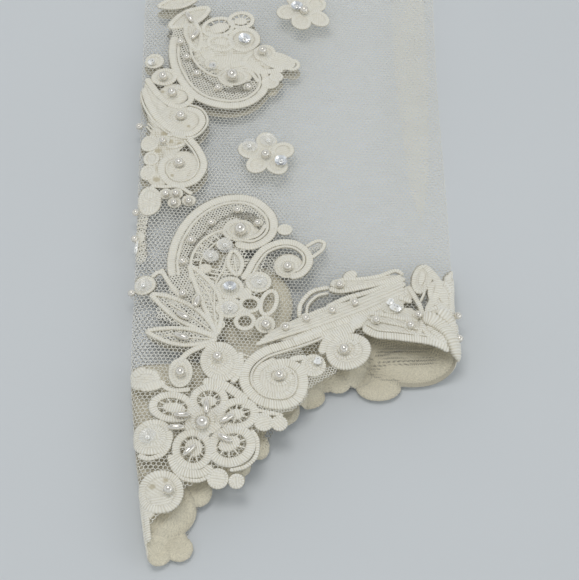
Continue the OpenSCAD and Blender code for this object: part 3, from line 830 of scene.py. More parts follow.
# how far a bead leans towards the fingertips, as a share of how high it stands
RISE_SHARE = 0.6
# pearls that stand on the folds at the left and the right
FOLD_ROWS = [0, 20, 30.3, 65.5]
WRAP_ROWS = [-8, -16]


# ---- lace motifs -------------------------------------------------------------------
# routes of the cords and bands, in mm from the wrist
HAND_SCROLL = [(10, -15), (4, -17.5), (-2, -19.5), (-8, -22), (-12.5, -27), (-13, -33), (-9, -38.5),
               (-3, -40), (2, -38), (4, -33), (3, -28), (-1, -25.5), (-6, -26.5)]
PAISLEY = [(-36, 5), (-36.5, 12), (-35, 20), (-31, 28), (-25, 33.5), (-18, 35.5), (-11, 34),
           (-6, 29), (-5, 23), (-7.5, 18.7), (-12, 16.7), (-17, 18)]
PAISLEY_FILL = [(-33, -2), (-33.2, 6), (-33, 13), (-31, 20.5), (-27, 26.8), (-21, 31), (-15, 31.4),
                (-10.5, 27.8)]
PAISLEY_EDGE = [(-30.5, 4), (-30.3, 12), (-27.8, 18), (-23.5, 21.8), (-19.5, 23)]


def tip_flower():
    """Pierced flower at the point, with its ring and stems."""
    work = Work()
    work.pad(TIP_HEART, (5, 4.6), 0.3)
    petals = (((-23.4, -38.4), (5.8, 5.4), 0, 2.6), ((-34, -40.6), (6.8, 5.3), -14, 2.5),
              ((-27.6, -54.4), (6.1, 6.7), 12, 2.7), ((-16.6, -53.4), (7.3, 6.6), 25, 3.2),
              ((-15, -43.2), (6.3, 5.7), 15, 2.8))
    for centre, radii, turn, rim in petals:
        work.petal(centre, radii, TIP_HEART, turn, rim)
    work.pad((-38.8, -50.3), (5.4, 5.6))
    work.hoop((-38.9, -50.4), (4.6, 4.8), width=2.2)
    work.hoop((-38.7, -50.1), (2.5, 2.7), width=1.8)
    work.oval((-38.6, -50), (1.6, 1.7), 20)
    work.band([(-34.2, -52.5), (-36, -55.7), (-39.5, -57.2), (-42.5, -55.5)], 1.6)
    for spot in ((-28.5, -46.5), (-21.5, -47.5), (-21, -42), (-27.5, -42.5), (-24.5, -49.5)):
        work.oval(spot, (2.4, 1.6), 40)
    work.band([(-34, -56), (-32.4, -59.6), (-29, -61.8), (-24.8, -61.8), (-22, -59.6)], 2.9)
    work.band([(-33.6, -59.6), (-30.4, -63.2), (-26, -64), (-22.8, -62.8)], 1.3)
    work.hoop(TIP_HEART, (2.8, 2.6), width=1.6, height=0.7, lift=0.15)
    work.band([(-17, -60.9), (-12.6, -59.8), (-9.6, -56.6), (-9.2, -51.6), (-11, -48.4)], 1.3)
    for spot, radius in (((-20.3, -63.4), 3.2), ((-15, -64.2), 2.4), ((-7.5, -46), 2.9),
                         ((-3, -46.1), 2.6)):
        work.pad(spot, (radius - 0.3, radius - 0.3), 0.35)
        work.hoop(spot, (radius - 0.6, radius - 0.6), width=1.1)
    work.band([(-10.4, -44.2), (-6, -43), (-1.8, -43.4)], 1.3)
    work.net_along([(-12, -48.6), (-8.6, -46.4)], 3)
    return work


def tip_scroll():
    """Round scroll beyond the flower, down to the point."""
    work = Work()
    work.hoop((-36, -67.4), (5.0, 5.4), width=2.6, height=0.55)
    # the holes on this pad are painted shade, not cut
    work.pad((-36, -67.4), (4.6, 5), 0.3,
             holes=[([(-35, -63.9)], 0.9), ([(-38.2, -65.8)], 1.0)])
    work.plate([(-39, -69), (-36, -68.4), (-33, -69), (-32.4, -70.4), (-35, -72), (-38, -71.6)], 0.45)
    work.pad((-39.4, -73), (2.4, 2.4), 0.3)
    work.band([(-41.2, -70), (-41, -75), (-40.4, -79), (-39.6, -83)], 2.2)
    work.band([(-39.6, -72), (-39, -77), (-38.4, -82)], 1.7)
    return work


def hand_scroll():
    """Scrolls between the flower and the hand band."""
    work = Work()
    work.pad((-4, -32), (8.4, 7), 0.22)
    work.double(HAND_SCROLL, 3.4, 1.0, 1, 0.5)
    work.band([(-4, -24.2), (-8.6, -27.4), (-9.6, -32.4), (-6.6, -36.3), (-1.6, -36.6), (1, -33.6),
               (0.6, -29.6)], 2.4)
    work.hoop((-3, -30), (3.1, 2.9), width=1.8)
    work.oval((-3, -29.8), (2.3, 2.1), 30)
    work.net_along([(-6, -21.3), (2, -22.4)], 5, 0.95, 0.2)
    work.oval((2.6, -24), (2.8, 1.1), 8)
    work.pad((-20.4, -25), (5.6, 6.4), 0.22, 10)
    work.hoop((-20.4, -25.4), (4.8, 5.9), 14, 2.5)
    work.hoop((-20.8, -24.4), (2.9, 3.5), 14, 1.6)
    work.hoop((-21.3, -23.6), (1.9, 1.9), width=1.1, height=0.7)
    work.band([(-25.4, -32.2), (-20, -33.2), (-16.5, -35.3), (-12.4, -38.6)], 3.2)
    work.band([(-14.6, -22), (-14.2, -26), (-15, -30), (-17, -32.5)], 1.8)
    work.ladder([(-14, -22), (-13.8, -27), (-15, -32)], [(-11.5, -23), (-12, -27), (-13.2, -32)], 6)
    work.band([(-14, -40.4), (-9, -42), (-4, -42.8)], 1.2)
    work.net_along([(-13.4, -38.8), (-9.4, -40.6), (-4, -41.8), (1, -40.2), (4.6, -36)], 2.4)
    work.net_along([(5, -33), (8.4, -30.4), (12.6, -28)], 3.4)
    return work


def hand_edge_lace():
    """Corded band across the hand and the rosettes along its edge."""
    work = Work()
    # cloth of the band between its edges
    work.plate([(-4, -17), (4, -14), (12, -9.5), (22, -6.5), (33, -1), (37, 2), (37.5, -3), (30, -8),
                (20, -11.5), (10, -15), (3, -17.6)], 0.2)
    work.plate([(20, -12), (28, -9.6), (36, -7), (40, -12), (43, -19), (34, -17.6), (26, -16)], 0.15)
    work.band([(1, -17.6), (8, -14.6), (15, -12), (22, -9), (29, -5.2), (36, -0.6)], 2.9, 0.45)
    work.band([(9, -16.6), (14, -14.8), (19, -12.6), (24, -9.8)], 2.6, 0.45)
    work.band([(-2.5, -13.6), (4, -10.2), (10, -7.4), (18, -5.4), (25, -3), (35.5, 2.6)], 2.2, 0.5)
    work.band([(11, -6.6), (17, -3.4), (24, -1), (30, 1.8), (35.5, 4.6)], 2.0, 0.45)
    for k in range(4):
        work.cord([(-10 + 1.2 * k, -19.4 + 1.2 * k), (-1, -15.8 + k), (9, -12.6 + 1.1 * k),
                   (19, -8.8 + 1.2 * k), (28, -4.6 + 1.3 * k), (35, -1 + 1.3 * k)], 1.7, 0.7, lift=0.15)
    work.band([(12, 0.6), (16, -0.4), (22, 0.8), (28, 2.6), (34.5, 5.4)], 1.9, 0.5)
    work.band([(12.5, 1.6), (16, 3.8), (21, 4), (27, 5), (32.5, 7.4), (35, 5.8)], 1.5, 0.5)
    work.plate([(13, 1.2), (17, 0.4), (24, 2), (33, 5.6), (26, 5), (18, 4)], 0.2)
    work.ladder([(15, 0), (24, 1.6), (32, 5)], [(15.6, 3.2), (24, 4.4), (31, 6.6)], 10, 0.6)
    work.oval((18.6, 5.4), (2.4, 2), 40)
    work.oval((14.6, 2.4), (2, 1.8), 0)
    work.band([(3, -9.6), (3.4, -5), (6.8, -0.6), (12, 1)], 1.5)
    work.cord([(5.2, -9), (5.6, -5.4), (8.4, -2.2), (12, -1.2)], 1.1, 0.7)
    work.pad((7, -26.5), (3.6, 3.6))
    work.hoop((7, -26.5), (3, 3), width=1.7)
    work.hoop((7.6, -26), (1.5, 1.5), width=1.2)
    work.pad((17.2, -21.8), (6, 5.6), 0.22, 18)
    work.hoop((17.4, -22.1), (5.4, 4.9), 18, 2.9, 0.5)
    work.hoop((16.8, -21.5), (3.2, 2.8), 18, 1.5)
    work.hoop((16.3, -21), (1.7, 1.7), width=1.1, height=0.65, lift=0.1)
    work.oval((19.6, -19.2), (1.6, 1), 30)
    work.band([(9.4, -22.6), (11, -18.4), (14, -16), (19.5, -14.4)], 3.0)
    work.oval((20.4, -12), (3, 2.2), 40, 0.5)
    work.double([(22, -14), (26, -17), (33, -18.3), (40, -19.3), (46.5, -21.8)], 2.6, 0.9, 1, 0.5)
    work.cord([(23, -10.6), (29, -13), (36, -15), (42, -15.8)], 1.0, 0.8, lift=0.1)
    work.net_along([(25, -10.8), (32, -12.4), (38, -14.4)], 7, 0.8, 0.24)
    work.band([(23, -8.8), (28, -9.6), (34, -11.6), (38.5, -11.8)], 1.9)
    work.band([(25, -6), (29, -4), (33, -3.4), (37, -5)], 1.8, 0.5)
    work.pad((31, -6.6), (3.6, 3), 0.35)
    work.hoop((31, -6.6), (2.9, 2.4), width=1.2)
    work.band([(36.4, 1), (38, -3), (39.6, -7.6), (39.6, -13), (38, -18)], 1.8, 0.5)
    work.band([(33.5, -13.6), (36, -16), (38.6, -18.4)], 1.6)
    for spot in EDGE_SMALL:
        work.hoop(spot, (1.3, 1.2), width=0.8, height=0.5, lift=0.25)
    return work


def fold_wrap():
    """Petals and rolled bands that wrap the right fold."""
    work = Work()
    for centre, radii, turn in (((40.6, 4), (3.2, 6), -12), ((46, -3), (4, 6), 14),
                                ((44.5, -14), (5.4, 7), 10), ((51, -11), (3.6, 6), -8),
                                ((49.5, 1.5), (3, 5), 10)):
        inner = (radii[0] - 0.9, radii[1] - 0.9)
        work.hoop(centre, inner, turn, 1.8, 0.5)
        work.pad(centre, inner, 0.3, turn)
        work.oval(centre, (radii[1] * 0.5, radii[0] * 0.35), turn + 90, 0.5, 0.2)
    work.band([(41.5, 9.5), (44, 5), (45, 0), (43, -5), (41.5, -9.5), (42, -15), (45.5, -20.5)],
              2.4, 0.6)
    work.band([(47, 4), (50, -1), (51, -7), (50, -13), (50.5, -19), (49, -23)], 2.4, 0.6)
    work.cord([(39.5, -5), (41, -1.5), (41.5, 2)], 1.0, 0.9)
    work.cord([(40.5, -13), (44, -15), (48, -14.6)], 0.9, 0.9, lift=0.3)
    work.band([(39.6, -11), (42.4, -12.2), (45.4, -15.2), (48, -20), (49.4, -23.6)], 5.0, 1.3, 0.4)
    work.band([(44, -9), (47, -11.6), (49.6, -16)], 3.4, 0.9, 0.4)
    work.net_along([(43, -6), (48, -8)], 4)
    return work


def wrist_leaves():
    """Fan of leaves at the left of the wrist."""
    work = Work(0.35)
    work.net_along([(-38, -8), (-30, -12), (-24, -15)], 5, 1.2, 0.4)
    work.net_along([(-26, -10), (-26, 0), (-29, 6)], 5, 1.2, 0.4)
    work.leaf((-31, 9.4), (-21.5, -16), 7, 1.5, 6, 2.2)
    work.leaf((-42, -1.5), (-21.5, -16.5), 7.4, 1.3, 9, 0.8)
    work.leaf((-42.5, -14.5), (-21.5, -17.5), 6.8, 1.2, 7, -0.8)
    work.band([(-39.6, 8), (-37.4, 3.6), (-35, 0), (-32.4, -3)], 1.6)
    work.band([(-33, -26), (-29.5, -22), (-22, -18)], 2)
    work.pad((-42, -31), (4.4, 3.6), 0.3)
    work.hoop((-42, -31), (3.2, 2.4), width=2)
    work.oval((-39.6, -33.4), (3.4, 1.8), 20, 0.5, 0.1)
    work.oval((-44, -28.6), (2.4, 1.6), 30, 0.5, 0.1)
    work.pad((-32, -29), (3.5, 4.8))
    work.hoop((-32, -29), (2.9, 4.3), 0, 1.6)
    work.hoop((-32, -28.2), (1.6, 1.6), width=0.9, height=0.6, lift=0.1)
    work.band([(-38, -32.5), (-34.4, -34.8), (-29, -34.8)], 1.7)
    work.hoop((-43.8, 2), (2.4, 2.8), 0, 1.5)
    work.pad((-43.8, 2), (2, 2.4), 0.2)
    work.band([(-42, 4.8), (-40.4, 6.6), (-38, 6)], 1.4)
    work.hoop((-28, -3.6), (1.3, 2.2), -12, 0.8)
    work.net_along([(-30, 2), (-27.4, -4), (-25, -9)], 2.2, 0.9, 0.2)
    return work


def wrist_flower():
    """Flower of the wrist with its leaf and scroll."""
    work = Work(0.35)
    work.pad((-18.2, 1), (3.6, 3.6), 0.2)
    work.hoop((-18.2, 1), (3.5, 3.5), width=1.8)
    work.hoop((-18.2, -6.3), (3.6, 2.9), 10, 1.5)
    work.pad((-18, -6), (3, 2.4))
    work.pad((-9.5, 3.3), (3.8, 3.6))
    work.hoop((-9.5, 3.3), (3.3, 3.1), width=1.6)
    work.band([(-12, 4.6), (-10, 5.6), (-7.6, 5)], 1.0, 0.45, lift=0.15)
    work.hoop((-12, -4.8), (2.9, 2.6), width=1.6)
    work.hoop((-6.3, -4.4), (2.3, 4.4), -14, 1.6)
    work.hoop((-13.4, -11), (2.7, 2.7), width=1.6)
    work.pad((-7.3, -12.2), (2.8, 2.8))
    work.hoop((-7.3, -12.2), (2.5, 2.5), width=1.4)
    work.hoop((-20.9, -12.3), (1.3, 1.3), width=0.8)
    work.oval((-13.8, -1), (2.4, 2.4), 30)
    work.oval((-13, -7.8), (1.6, 1.2), 0)
    work.leaf((-17.6, 15.6), (-16, 5.4), 5.6, 1.3, 6)
    work.double([(-14.5, 4.2), (-12.8, 7), (-11, 11), (-8, 15.3), (-3, 17.8), (2, 17.4), (5.6, 14),
                 (6, 9.6), (3.6, 6), (0, 5)], 2.5, 1.1, -1)
    work.pad((-0.3, 9.2), (4.6, 4.4))
    work.hoop((-0.5, 8.9), (2.7, 2.6), width=1.5)
    work.band([(5, 16.4), (8.6, 18.8), (10.8, 18), (10, 15.2), (6.8, 12)], 1.3)
    work.net_along([(6, 14.6), (9.6, 17)], 2.2)
    work.net_along([(-6, 7), (-5.6, 11)], 3.4, 1.0, 0.2)
    work.ladder([(-22.6, -10), (-23, -4), (-22.6, 3), (-20, 8)],
                [(-26, -9), (-26.4, -3), (-26, 3), (-24, 9)], 12)
    work.ladder([(-21, 6), (-19.6, 12)], [(-15, 5.5), (-12, 12)], 6)
    work.cord([(-22.4, -11), (-22.8, -4), (-22.4, 3), (-20.4, 8), (-19.4, 13)], 0.9)
    work.net_along([(-23, -12), (-22.6, -2), (-20, 8), (-16, 14)], 6, 1.2, 0.42, 0.25)
    work.net_along([(-12, 0), (-11, 6), (-9, 12)], 5, 1.2, 0.4, 0.25)
    return work


def wrist_paisley(seats=(*PAISLEY_SMALL, PAISLEY_FOOT)):
    """Net-filled paisley with a rolled heart; seats are the spots of its small pearls."""
    work = Work(0.3)
    work.double(PAISLEY, 2.9, 1.3, -1, 0.4)
    work.net_along(PAISLEY_FILL, 8, 0.95, 0.46, 0.3)
    work.net_along([(-29, 13), (-26.6, 18.6), (-22.4, 23.4), (-17, 27.4), (-12, 27)], 5, 0.95, 0.46, 0.3)
    work.cord(PAISLEY_EDGE, 1.3, 0.7)
    work.ladder(PAISLEY_EDGE, [(-27.6, 5), (-27.6, 11), (-25.4, 15.6), (-22, 19), (-18, 20.6)], 8, 0.8)
    work.cord([(-27.6, 6), (-27.4, 11), (-25.2, 15.4), (-22, 18.8), (-18.6, 20.2)], 0.8, 0.5)
    work.pad((-14.8, 22.4), (5.2, 3.8))
    work.hoop((-15.4, 23.2), (3.8, 3), 0, 1.5)
    work.band([(-18, 19.4), (-20.4, 22), (-19.2, 25.4), (-16, 27)], 1.5)
    work.band([(-7.4, 25), (-10, 21), (-14.6, 19.6)], 1.6)
    for spot in seats:
        work.hoop(spot, (1.2, 1.2), width=0.7, height=0.4)
    for x, y, radius in ((-20.4, 17.6, 2.6), (-24.5, 13.2, 2.5), (-26, 8.4, 2.1)):
        work.pad((x, y), (radius, radius * 0.85), 0.35)
    work.hoop((-1.5, 22.7), (1.9, 1.6), 0, 1.1)
    work.pad((-1.5, 22.7), (2, 1.7), 0.3)
    work.cord([(-5.2, 23.4), (-3.4, 22.8)], 0.8)
    return work


def fold_cluster():
    """Cluster of four pearls' rings and the lace down the left fold."""
    work = Work(0.35)
    for spot in CLUSTER_SMALL:
        work.pad(spot, (1.6, 1.6), 0.2)
        work.hoop(spot, (1.7, 1.6), width=1.2)
    work.pad((-44, 34.3), (3, 5.4), 0.2)
    work.hoop((-44, 34.3), (2.7, 5), 0, 1.6)
    work.oval((-43.8, 31), (2, 1.5), 0)
    work.oval((-43.8, 36.6), (2, 1.5), 0)
    work.band([(-44, 40.4), (-40, 40.2), (-35.5, 40.2), (-31, 37)], 1.5)
    work.net_along([(-45.4, 30), (-45.8, 20), (-45.2, 12)], 3.4, 0.9, 0.44, 0.28)
    work.ladder([(-47.2, 28), (-47.6, 20), (-47, 13)], [(-44, 28), (-44.4, 20), (-43.6, 13)], 9, 0.7)
    work.oval((-46, 20), (2.2, 1.6), 90)
    return work


def fold_chain():
    """Chain of scrolls up the left fold."""
    work = Work(0.35)
    work.double([(-33, 60), (-29.5, 55), (-27.6, 49), (-29.5, 43.4), (-34, 40.8), (-38.5, 42),
                 (-41, 46), (-40.4, 50.5), (-37, 52.8)], 2.6, 1.0, -1)
    # the holes on this pad are painted shade, not cut
    work.pad((-34.4, 48), (6, 6.6), 0.22,
             holes=[([(-31.6, 47), (-32.6, 44.6)], 0.5), ([(-37.6, 44.8)], 0.7)])
    work.hoop((-35.5, 49.4), (2.3, 2.2), width=1.3)
    work.double([(-48, 82), (-45.5, 74), (-42, 67), (-37, 62.4), (-32, 61.6), (-28.6, 66),
                 (-30, 70.4), (-34, 72.4)], 2.6, 1.0, -1)
    # the holes on this pad are painted shade, not cut
    work.pad((-36.4, 68), (7, 5.8), 0.22, -30,
             holes=[([(-39.4, 68.6), (-38.8, 71.4)], 0.5), ([(-33, 64.6)], 0.7)])
    work.hoop((-35.5, 68.8), (2.3, 2.2), width=1.3)
    work.band([(-47, 86), (-43.4, 78.6), (-40, 74.6), (-36, 73.2), (-32.6, 76), (-34, 80),
               (-38, 81.6)], 2.3)
    # the holes on this pad are painted shade, not cut
    work.pad((-38.4, 78.4), (5, 4.4), 0.22,
             holes=[([(-42, 79.4)], 0.7)])
    work.hoop((-38.8, 78.8), (1.9, 1.8), width=1.1)
    work.hoop((-41.5, 86), (3.2, 3), width=2.0)
    work.pad((-41.5, 86), (2.6, 2.6))
    work.hoop((-45, 93), (2.2, 2.4), 0, 1.5)
    work.pad((-45, 93), (2, 2), 0.3)
    for centre, radii in (((-45, 58), (2.2, 2.8)), ((-44.2, 51.6), (1.8, 2.4)),
                          ((-45, 45.8), (1.8, 2.6))):
        work.hoop(centre, radii, 0, 1.1, 0.35)
        work.pad(centre, radii, 0.2)
    # the holes on this plate are painted shade, not cut
    work.plate([(-44.6, 64.4), (-45.4, 52), (-44.6, 42), (-40, 41), (-36.6, 53), (-33, 58.6), (-36, 62),
                (-42, 65)], 0.12,
               holes=[([(-40.8, 62)], 1.5), ([(-38.6, 58.6)], 1.1), ([(-35.6, 57.2)], 1.3),
                      ([(-42.4, 54.8)], 1.2), ([(-41.8, 47.6)], 1.1), ([(-42.4, 43)], 1.2),
                      ([(-43.2, 62), (-42, 58.6), (-41.6, 51), (-42.6, 45.6)], 1.2),
                      ([(-39.4, 55.4), (-37.4, 57.6), (-34, 60)], 1.2)])
    work.plate([(-47.6, 84), (-46.6, 72), (-44, 65), (-38, 62), (-40, 72), (-44, 82)], 0.16)
    work.hoop((-41, 59), (1.6, 1.6), width=1.1)
    work.pad((-41, 59), (1.6, 1.6))
    work.band([(-40, 61), (-37, 61.4), (-33.6, 60.4)], 1.7)
    work.band([(-40, 56.6), (-37.4, 56), (-34, 57.4)], 1.3)
    work.ladder([(-44.6, 62), (-42.8, 64.6), (-40, 63.6)], [(-46.6, 65), (-45, 68), (-42.6, 66)], 5)
    work.ladder([(-42, 52), (-42, 47)], [(-39.8, 52), (-41, 46)], 4)
    return work


def arm_paisley():
    """The wrist's paisley, end for end, with seats for its own pearls."""
    work = wrist_paisley(()).flipped(slide=-3)
    for spot in ARM_SMALL:
        work.hoop(spot, (1.2, 1.2), width=0.7, height=0.4)
    return work


def arm_flower():
    """Flower of the arm with its leaves."""
    work = Work(0.35)
    # the holes on this plate are painted shade, not cut
    work.plate([(-33, 106), (-28, 110), (-18, 102), (-7, 98), (-5, 92), (-12, 87), (-22, 87),
                (-31, 93)], 0.18,
               holes=[([(-33, 101), (-32, 94), (-27, 88.4), (-20, 86)], 1.3),
                      ([(-12.8, 91.4)], 1.6), ([(-9.4, 90.4)], 1.1), ([(-28.4, 100)], 1.4),
                      ([(-28.6, 96.6), (-26, 97.4), (-22, 96.4)], 1.2),
                      ([(-18.6, 97.4), (-13.6, 96.6), (-10.6, 93.2)], 1.0)])
    for centre, radii, turn in (((-24.4, 108.6), (6, 5), 20), ((-16.6, 111.6), (4.8, 4.2), 0),
                                ((-23.4, 101.4), (5, 4.2), -10)):
        work.petal(centre, radii, (-19, 104.5), turn, 1.7, 10, 0.7)
    work.hoop((-15.5, 103), (4.6, 4.6), width=2.2)
    work.pad((-15.5, 103), (3.8, 3.8), 0.2)
    work.pad((-8.4, 96.6), (3.4, 3.4))
    work.hoop((-8.4, 96.6), (3, 3), width=1.8)
    work.pad((-4, 93.3), (6.4, 3.4), turn=-20)
    work.hoop((-4, 93.3), (5.6, 2.8), -20, 1.6)
    work.hoop((1, 91.4), (2, 2), width=1.4)
    work.band([(-12.5, 97.5), (-15, 94), (-14.5, 91), (-10, 88.6), (-2, 89.4)], 2.4)
    work.pad((-6.5, 84), (2.6, 2.4))
    work.hoop((-6.5, 84), (2.4, 2.2), width=1.3)
    work.pad((-34.4, 112.6), (7.4, 2.7), 0.22, 35)
    work.pad((-32.6, 105.4), (2.5, 7.4), 0.22, 12)
    work.pad((-38.4, 119.8), (5.6, 2.2), 0.2, 15)
    work.leaf((-41, 108), (-27.5, 117.5), 7.4, 1.7, 7)
    work.leaf((-34.5, 113.5), (-31, 97), 6.4, 1.7, 7)
    work.leaf((-45, 118), (-32, 121.5), 6, 1.2, 6)
    work.pad((-26, 91.8), (2.6, 2.4))
    work.hoop((-26, 91.8), (2.1, 1.9), width=1.2)
    work.ladder([(-30, 104), (-28, 98), (-26, 95)], [(-26, 104), (-25, 99), (-22, 95.6)], 8)
    return work


def small_flower(place=(0, 0), turn=90):
    """Loose flower of five petals."""
    work = Work(0.25)
    for k in range(5):
        angle = math.radians(turn + 72 * k)
        reach = 5.4 + 0.4 * math.sin(2.3 * k)
        centre = (reach * math.cos(angle), reach * math.sin(angle))
        work.hoop(centre, (3.1, 2.7), turn + 72 * k, 1.7)
        work.pad(centre, (2.9, 2.5), turn=turn + 72 * k)
    work.pad((0, 0), (3, 3), 0.3)
    work.hoop((0, 0), (2, 2), width=1.2, height=0.5, lift=0.1)
    return work.shifted(place)


def gather(*works):
    """Gathers several stitched works in one."""
    whole = Work()
    for work in works:
        whole.points += work.points
        whole.tones += work.tones
        for quads, sides in work.quads:
            whole.quads.append((quads + whole.count, sides))
        for cap, side in work.caps:
            whole.caps.append((cap + whole.count, side))
        whole.count += work.count
    return whole


def paisley_ground():
    """Felted ground that closes the palm side of a paisley."""
    work = Work(0.06)
    work.plate([(-33, 0), (-33, 6), (-31, 18), (-24, 28), (-12, 29), (-8, 22), (-14, 16), (-20, 12),
                (-24, 2)], 0.2)
    return work


def palm_lobes():
    """Felted lobes that show past the back of the hand, and the inside of the hand edge."""
    work = Work(0.06)
    lobes = (
        [(-41, -62), (-33, -60), (-27.6, -66), (-26.6, -72), (-30.6, -77.4), (-39, -78), (-41.6, -70)],
        oval_path((-36.6, -83.6), (3.7, 3.8)), oval_path((-31, -81.6), (4, 4)),
        oval_path((-34, -79), (5.4, 4)),
        [(-46, -26), (-36, -22), (-26, -22), (-14, -30), (-6, -40), (-8, -48), (-14, -55), (-24, -61),
         (-34, -64), (-42, -64), (-44.5, -48)],
        [(-26, -22), (-16, -15), (-2, -13), (10, -8), (20, -8), (22, -20), (12, -28), (0, -38),
         (-12, -42), (-22, -36)],
        oval_path((-26.6, -64.6), (4.6, 4.6)), oval_path((-18, -56), (7, 5.4)),
        oval_path((-9.5, -50), (3.8, 4)), oval_path((-4, -38), (7, 6)),
        oval_path((20, -25.4), (4.8, 4)), oval_path((5, -32.4), (5.6, 4.2)),
        oval_path((14.6, -28.6), (3.6, 2.8)),
        oval_path((10, -27), (7, 4)), oval_path((26.5, -29), (6.8, 4.8)),
        [(23, -20), (32, -18), (43, -15), (49.6, -13), (50.4, -18), (47.8, -24.6), (41, -27.8),
         (33, -28), (27, -26)],
        [(20, -18), (30, -9), (40, -6), (49, -6), (49, -14), (38, -16), (28, -19)],
        [(18, -17), (24, -15.6), (30, -18), (30, -26.4), (24, -29), (19, -27.6), (16.6, -23)],
    )
    # rows of holes, painted as shade on the lobes, not cut
    rows = [([(27, -18.6), (32, -17.2), (37, -17.6), (42, -16.6)], 1.5),
            ([(25.6, -22.6), (30, -20.6), (36, -21.4), (42, -21)], 1.5),
            ([(24, -24.4), (28, -26.4), (32, -26.8)], 0.6),
            ([(6, -22), (9.4, -24), (13, -25)], 1.6),
            ([(14, -18), (19, -17.8), (24, -20)], 1.3)]
    for outline in lobes:
        work.plate(outline, 0.4, 0.05, rows)
    work.band([(30, -27.4), (36, -28.2), (42, -27.4), (47.6, -24.4), (50.2, -18.6)], 1.6, 0.5)
    return work


# ---- beads -------------------------------------------------------------------------
def lathe(profile, sides=22):
    """Closed ring shape turned about the x axis from (along, radius) points."""
    p = np.asarray(profile, float)
    turn = np.linspace(0, 2 * math.pi, sides, endpoint=False)
    points = np.stack([np.broadcast_to(p[:, 0], (sides, len(p))),
                       np.cos(turn)[:, None] * p[:, 1], np.sin(turn)[:, None] * p[:, 1]], 2)
    k, i = np.arange(sides)[:, None], np.arange(len(p))[None]
    n, kk, ii = len(p), (k + 1) % sides, (i + 1) % len(p)
    quads = np.stack([k * n + i, k * n + ii, kk * n + ii, kk * n + i], -1)
    return points.reshape(-1, 3), quads.reshape(-1, 4)


def pearl_form(length, width, bore=0.5):
    """Pearl with a bore along x."""
    reach = math.sqrt(max(1 - (bore / width) ** 2, 0))
    angle = np.linspace(-math.asin(reach), math.asin(reach), 15)
    outer = np.stack([np.sin(angle) * length / 2, np.cos(angle) * width / 2], 1)
    return lathe(np.concatenate([outer, [(0.25 * length, bore / 2), (-0.25 * length, bore / 2)]])[::-1])


def cup_form(width, depth):
    """Faceted cup sequin, its hole up."""
    r = width / 2
    profile = [(0, 0.3), (0, 0.38 * r), (depth * 0.45, 0.7 * r), (depth, r), (depth - 0.12, r),
               (depth * 0.35, 0.7 * r), (-0.12, 0.38 * r), (-0.12, 0.3)]
    points, quads = lathe(profile, 12)
    return points[:, [1, 2, 0]], quads


def seed_form(width):
    """Seed bead, its hole up."""
    angle = np.linspace(0, 2 * math.pi, 10, endpoint=False)
    ring = np.stack([0.3 * width * np.sin(angle), 0.32 * width + 0.18 * width * np.cos(angle)], 1)
    points, quads = lathe(ring, 16)
    return points[:, [1, 2, 0]], quads


def crystal_form(width):
    """Faceted stone in a low round cut."""
    profile = [(-0.32 * width, 0.2), (-0.32 * width, 0.3 * width), (0, 0.5 * width),
               (0.32 * width, 0.3 * width), (0.32 * width, 0.2)]
    points, quads = lathe(profile[::-1], 10)
    return points[:, [1, 2, 0]], quads


def thread_form(reach, top, thick=0.16):
    """Sewing thread that rises from the cloth, runs through a bead and goes down again."""
    angle = np.linspace(-0.15, math.pi + 0.15, 15)
    line = np.stack([reach * np.cos(angle), np.zeros(15), top * np.sin(angle)], 1)
    ahead = np.gradient(line, axis=0)
    ahead /= np.linalg.norm(ahead, axis=1)[:, None]
    side = np.array([0, 1.0, 0])
    up = np.cross(side, ahead)
    turn = np.linspace(0, 2 * math.pi, 6, endpoint=False)
    ring = line[:, None] + thick / 2 * (np.cos(turn)[None, :, None] * side
                                        + np.sin(turn)[None, :, None] * up[:, None])
    k, i = np.arange(14)[:, None], np.arange(6)[None]
    quads = np.stack([k * 6 + i, k * 6 + (i + 1) % 6, (k + 1) * 6 + (i + 1) % 6, (k + 1) * 6 + i], -1)
    ends = np.array([[3, 2, 1, 0], [5, 4, 3, 0], [84, 85, 86, 87], [84, 87, 88, 89]])
    return ring.reshape(-1, 3), np.concatenate([quads.reshape(-1, 4), ends])


def scatter(form, spots, layer, height, tip=0.0):
    """Copies of a form at (x, y, turn) spots, each standing square on the cloth."""
    points, quads = form
    spots = np.array([(*s, 0)[:3] for s in spots], float)
    chance = np.random.default_rng(11)
    blocks = []
    for x, y, turn in spots:
        step = 0.2
        flat = np.array([(x, y, 0), (x + step, y, 0), (x, y + step, 0)])
        base, right, ahead = lay(flat, layer) / MM
        u = (right - base) / np.linalg.norm(right - base)
        n = np.cross(u, ahead - base) * layer
        n /= np.linalg.norm(n)
        lean = chance.normal(0, tip, 2)
        n = n + u * lean[0] + np.cross(n, u) * lean[1]
        n /= np.linalg.norm(n)
        u = u - n * (u @ n)
        u /= np.linalg.norm(u)
        v = np.cross(n, u)
        a = math.radians(turn)
        along, across = u * math.cos(a) + v * math.sin(a), v * math.cos(a) - u * math.sin(a)
        h = height(x, y, base) if callable(height) else height
        blocks.append(base + points @ np.stack([along, across, n]) + n * h)
    count = len(points)
    faces = np.concatenate([quads + k * count for k in range(len(blocks))])
    return np.concatenate(blocks) * MM, faces


def bead_piece(name, slot, material, parts, *nodes, smooth=True):
    """Joins scattered beads in one piece."""
    points, faces, count = [], [], 0
    for block, quads in parts:
        points.append(block)
        faces.append(quads + count)
        count += len(block)
    quads = np.concatenate(faces)
    piece = new_piece(name, np.concatenate(points), [quads], np.zeros(len(quads), int), [material])
    if not smooth:
        piece.data.polygons.foreach_set("use_smooth", np.zeros(len(quads), bool))
    return settle(piece, slot, *nodes)


def at_fold(side, rows):
    """Spots on the left (-1) or right (1) fold, a little to the upper side."""
    return [((left_fold(y) + 0.9) if side < 0 else (right_fold(y) - 0.9), y) for y in rows]


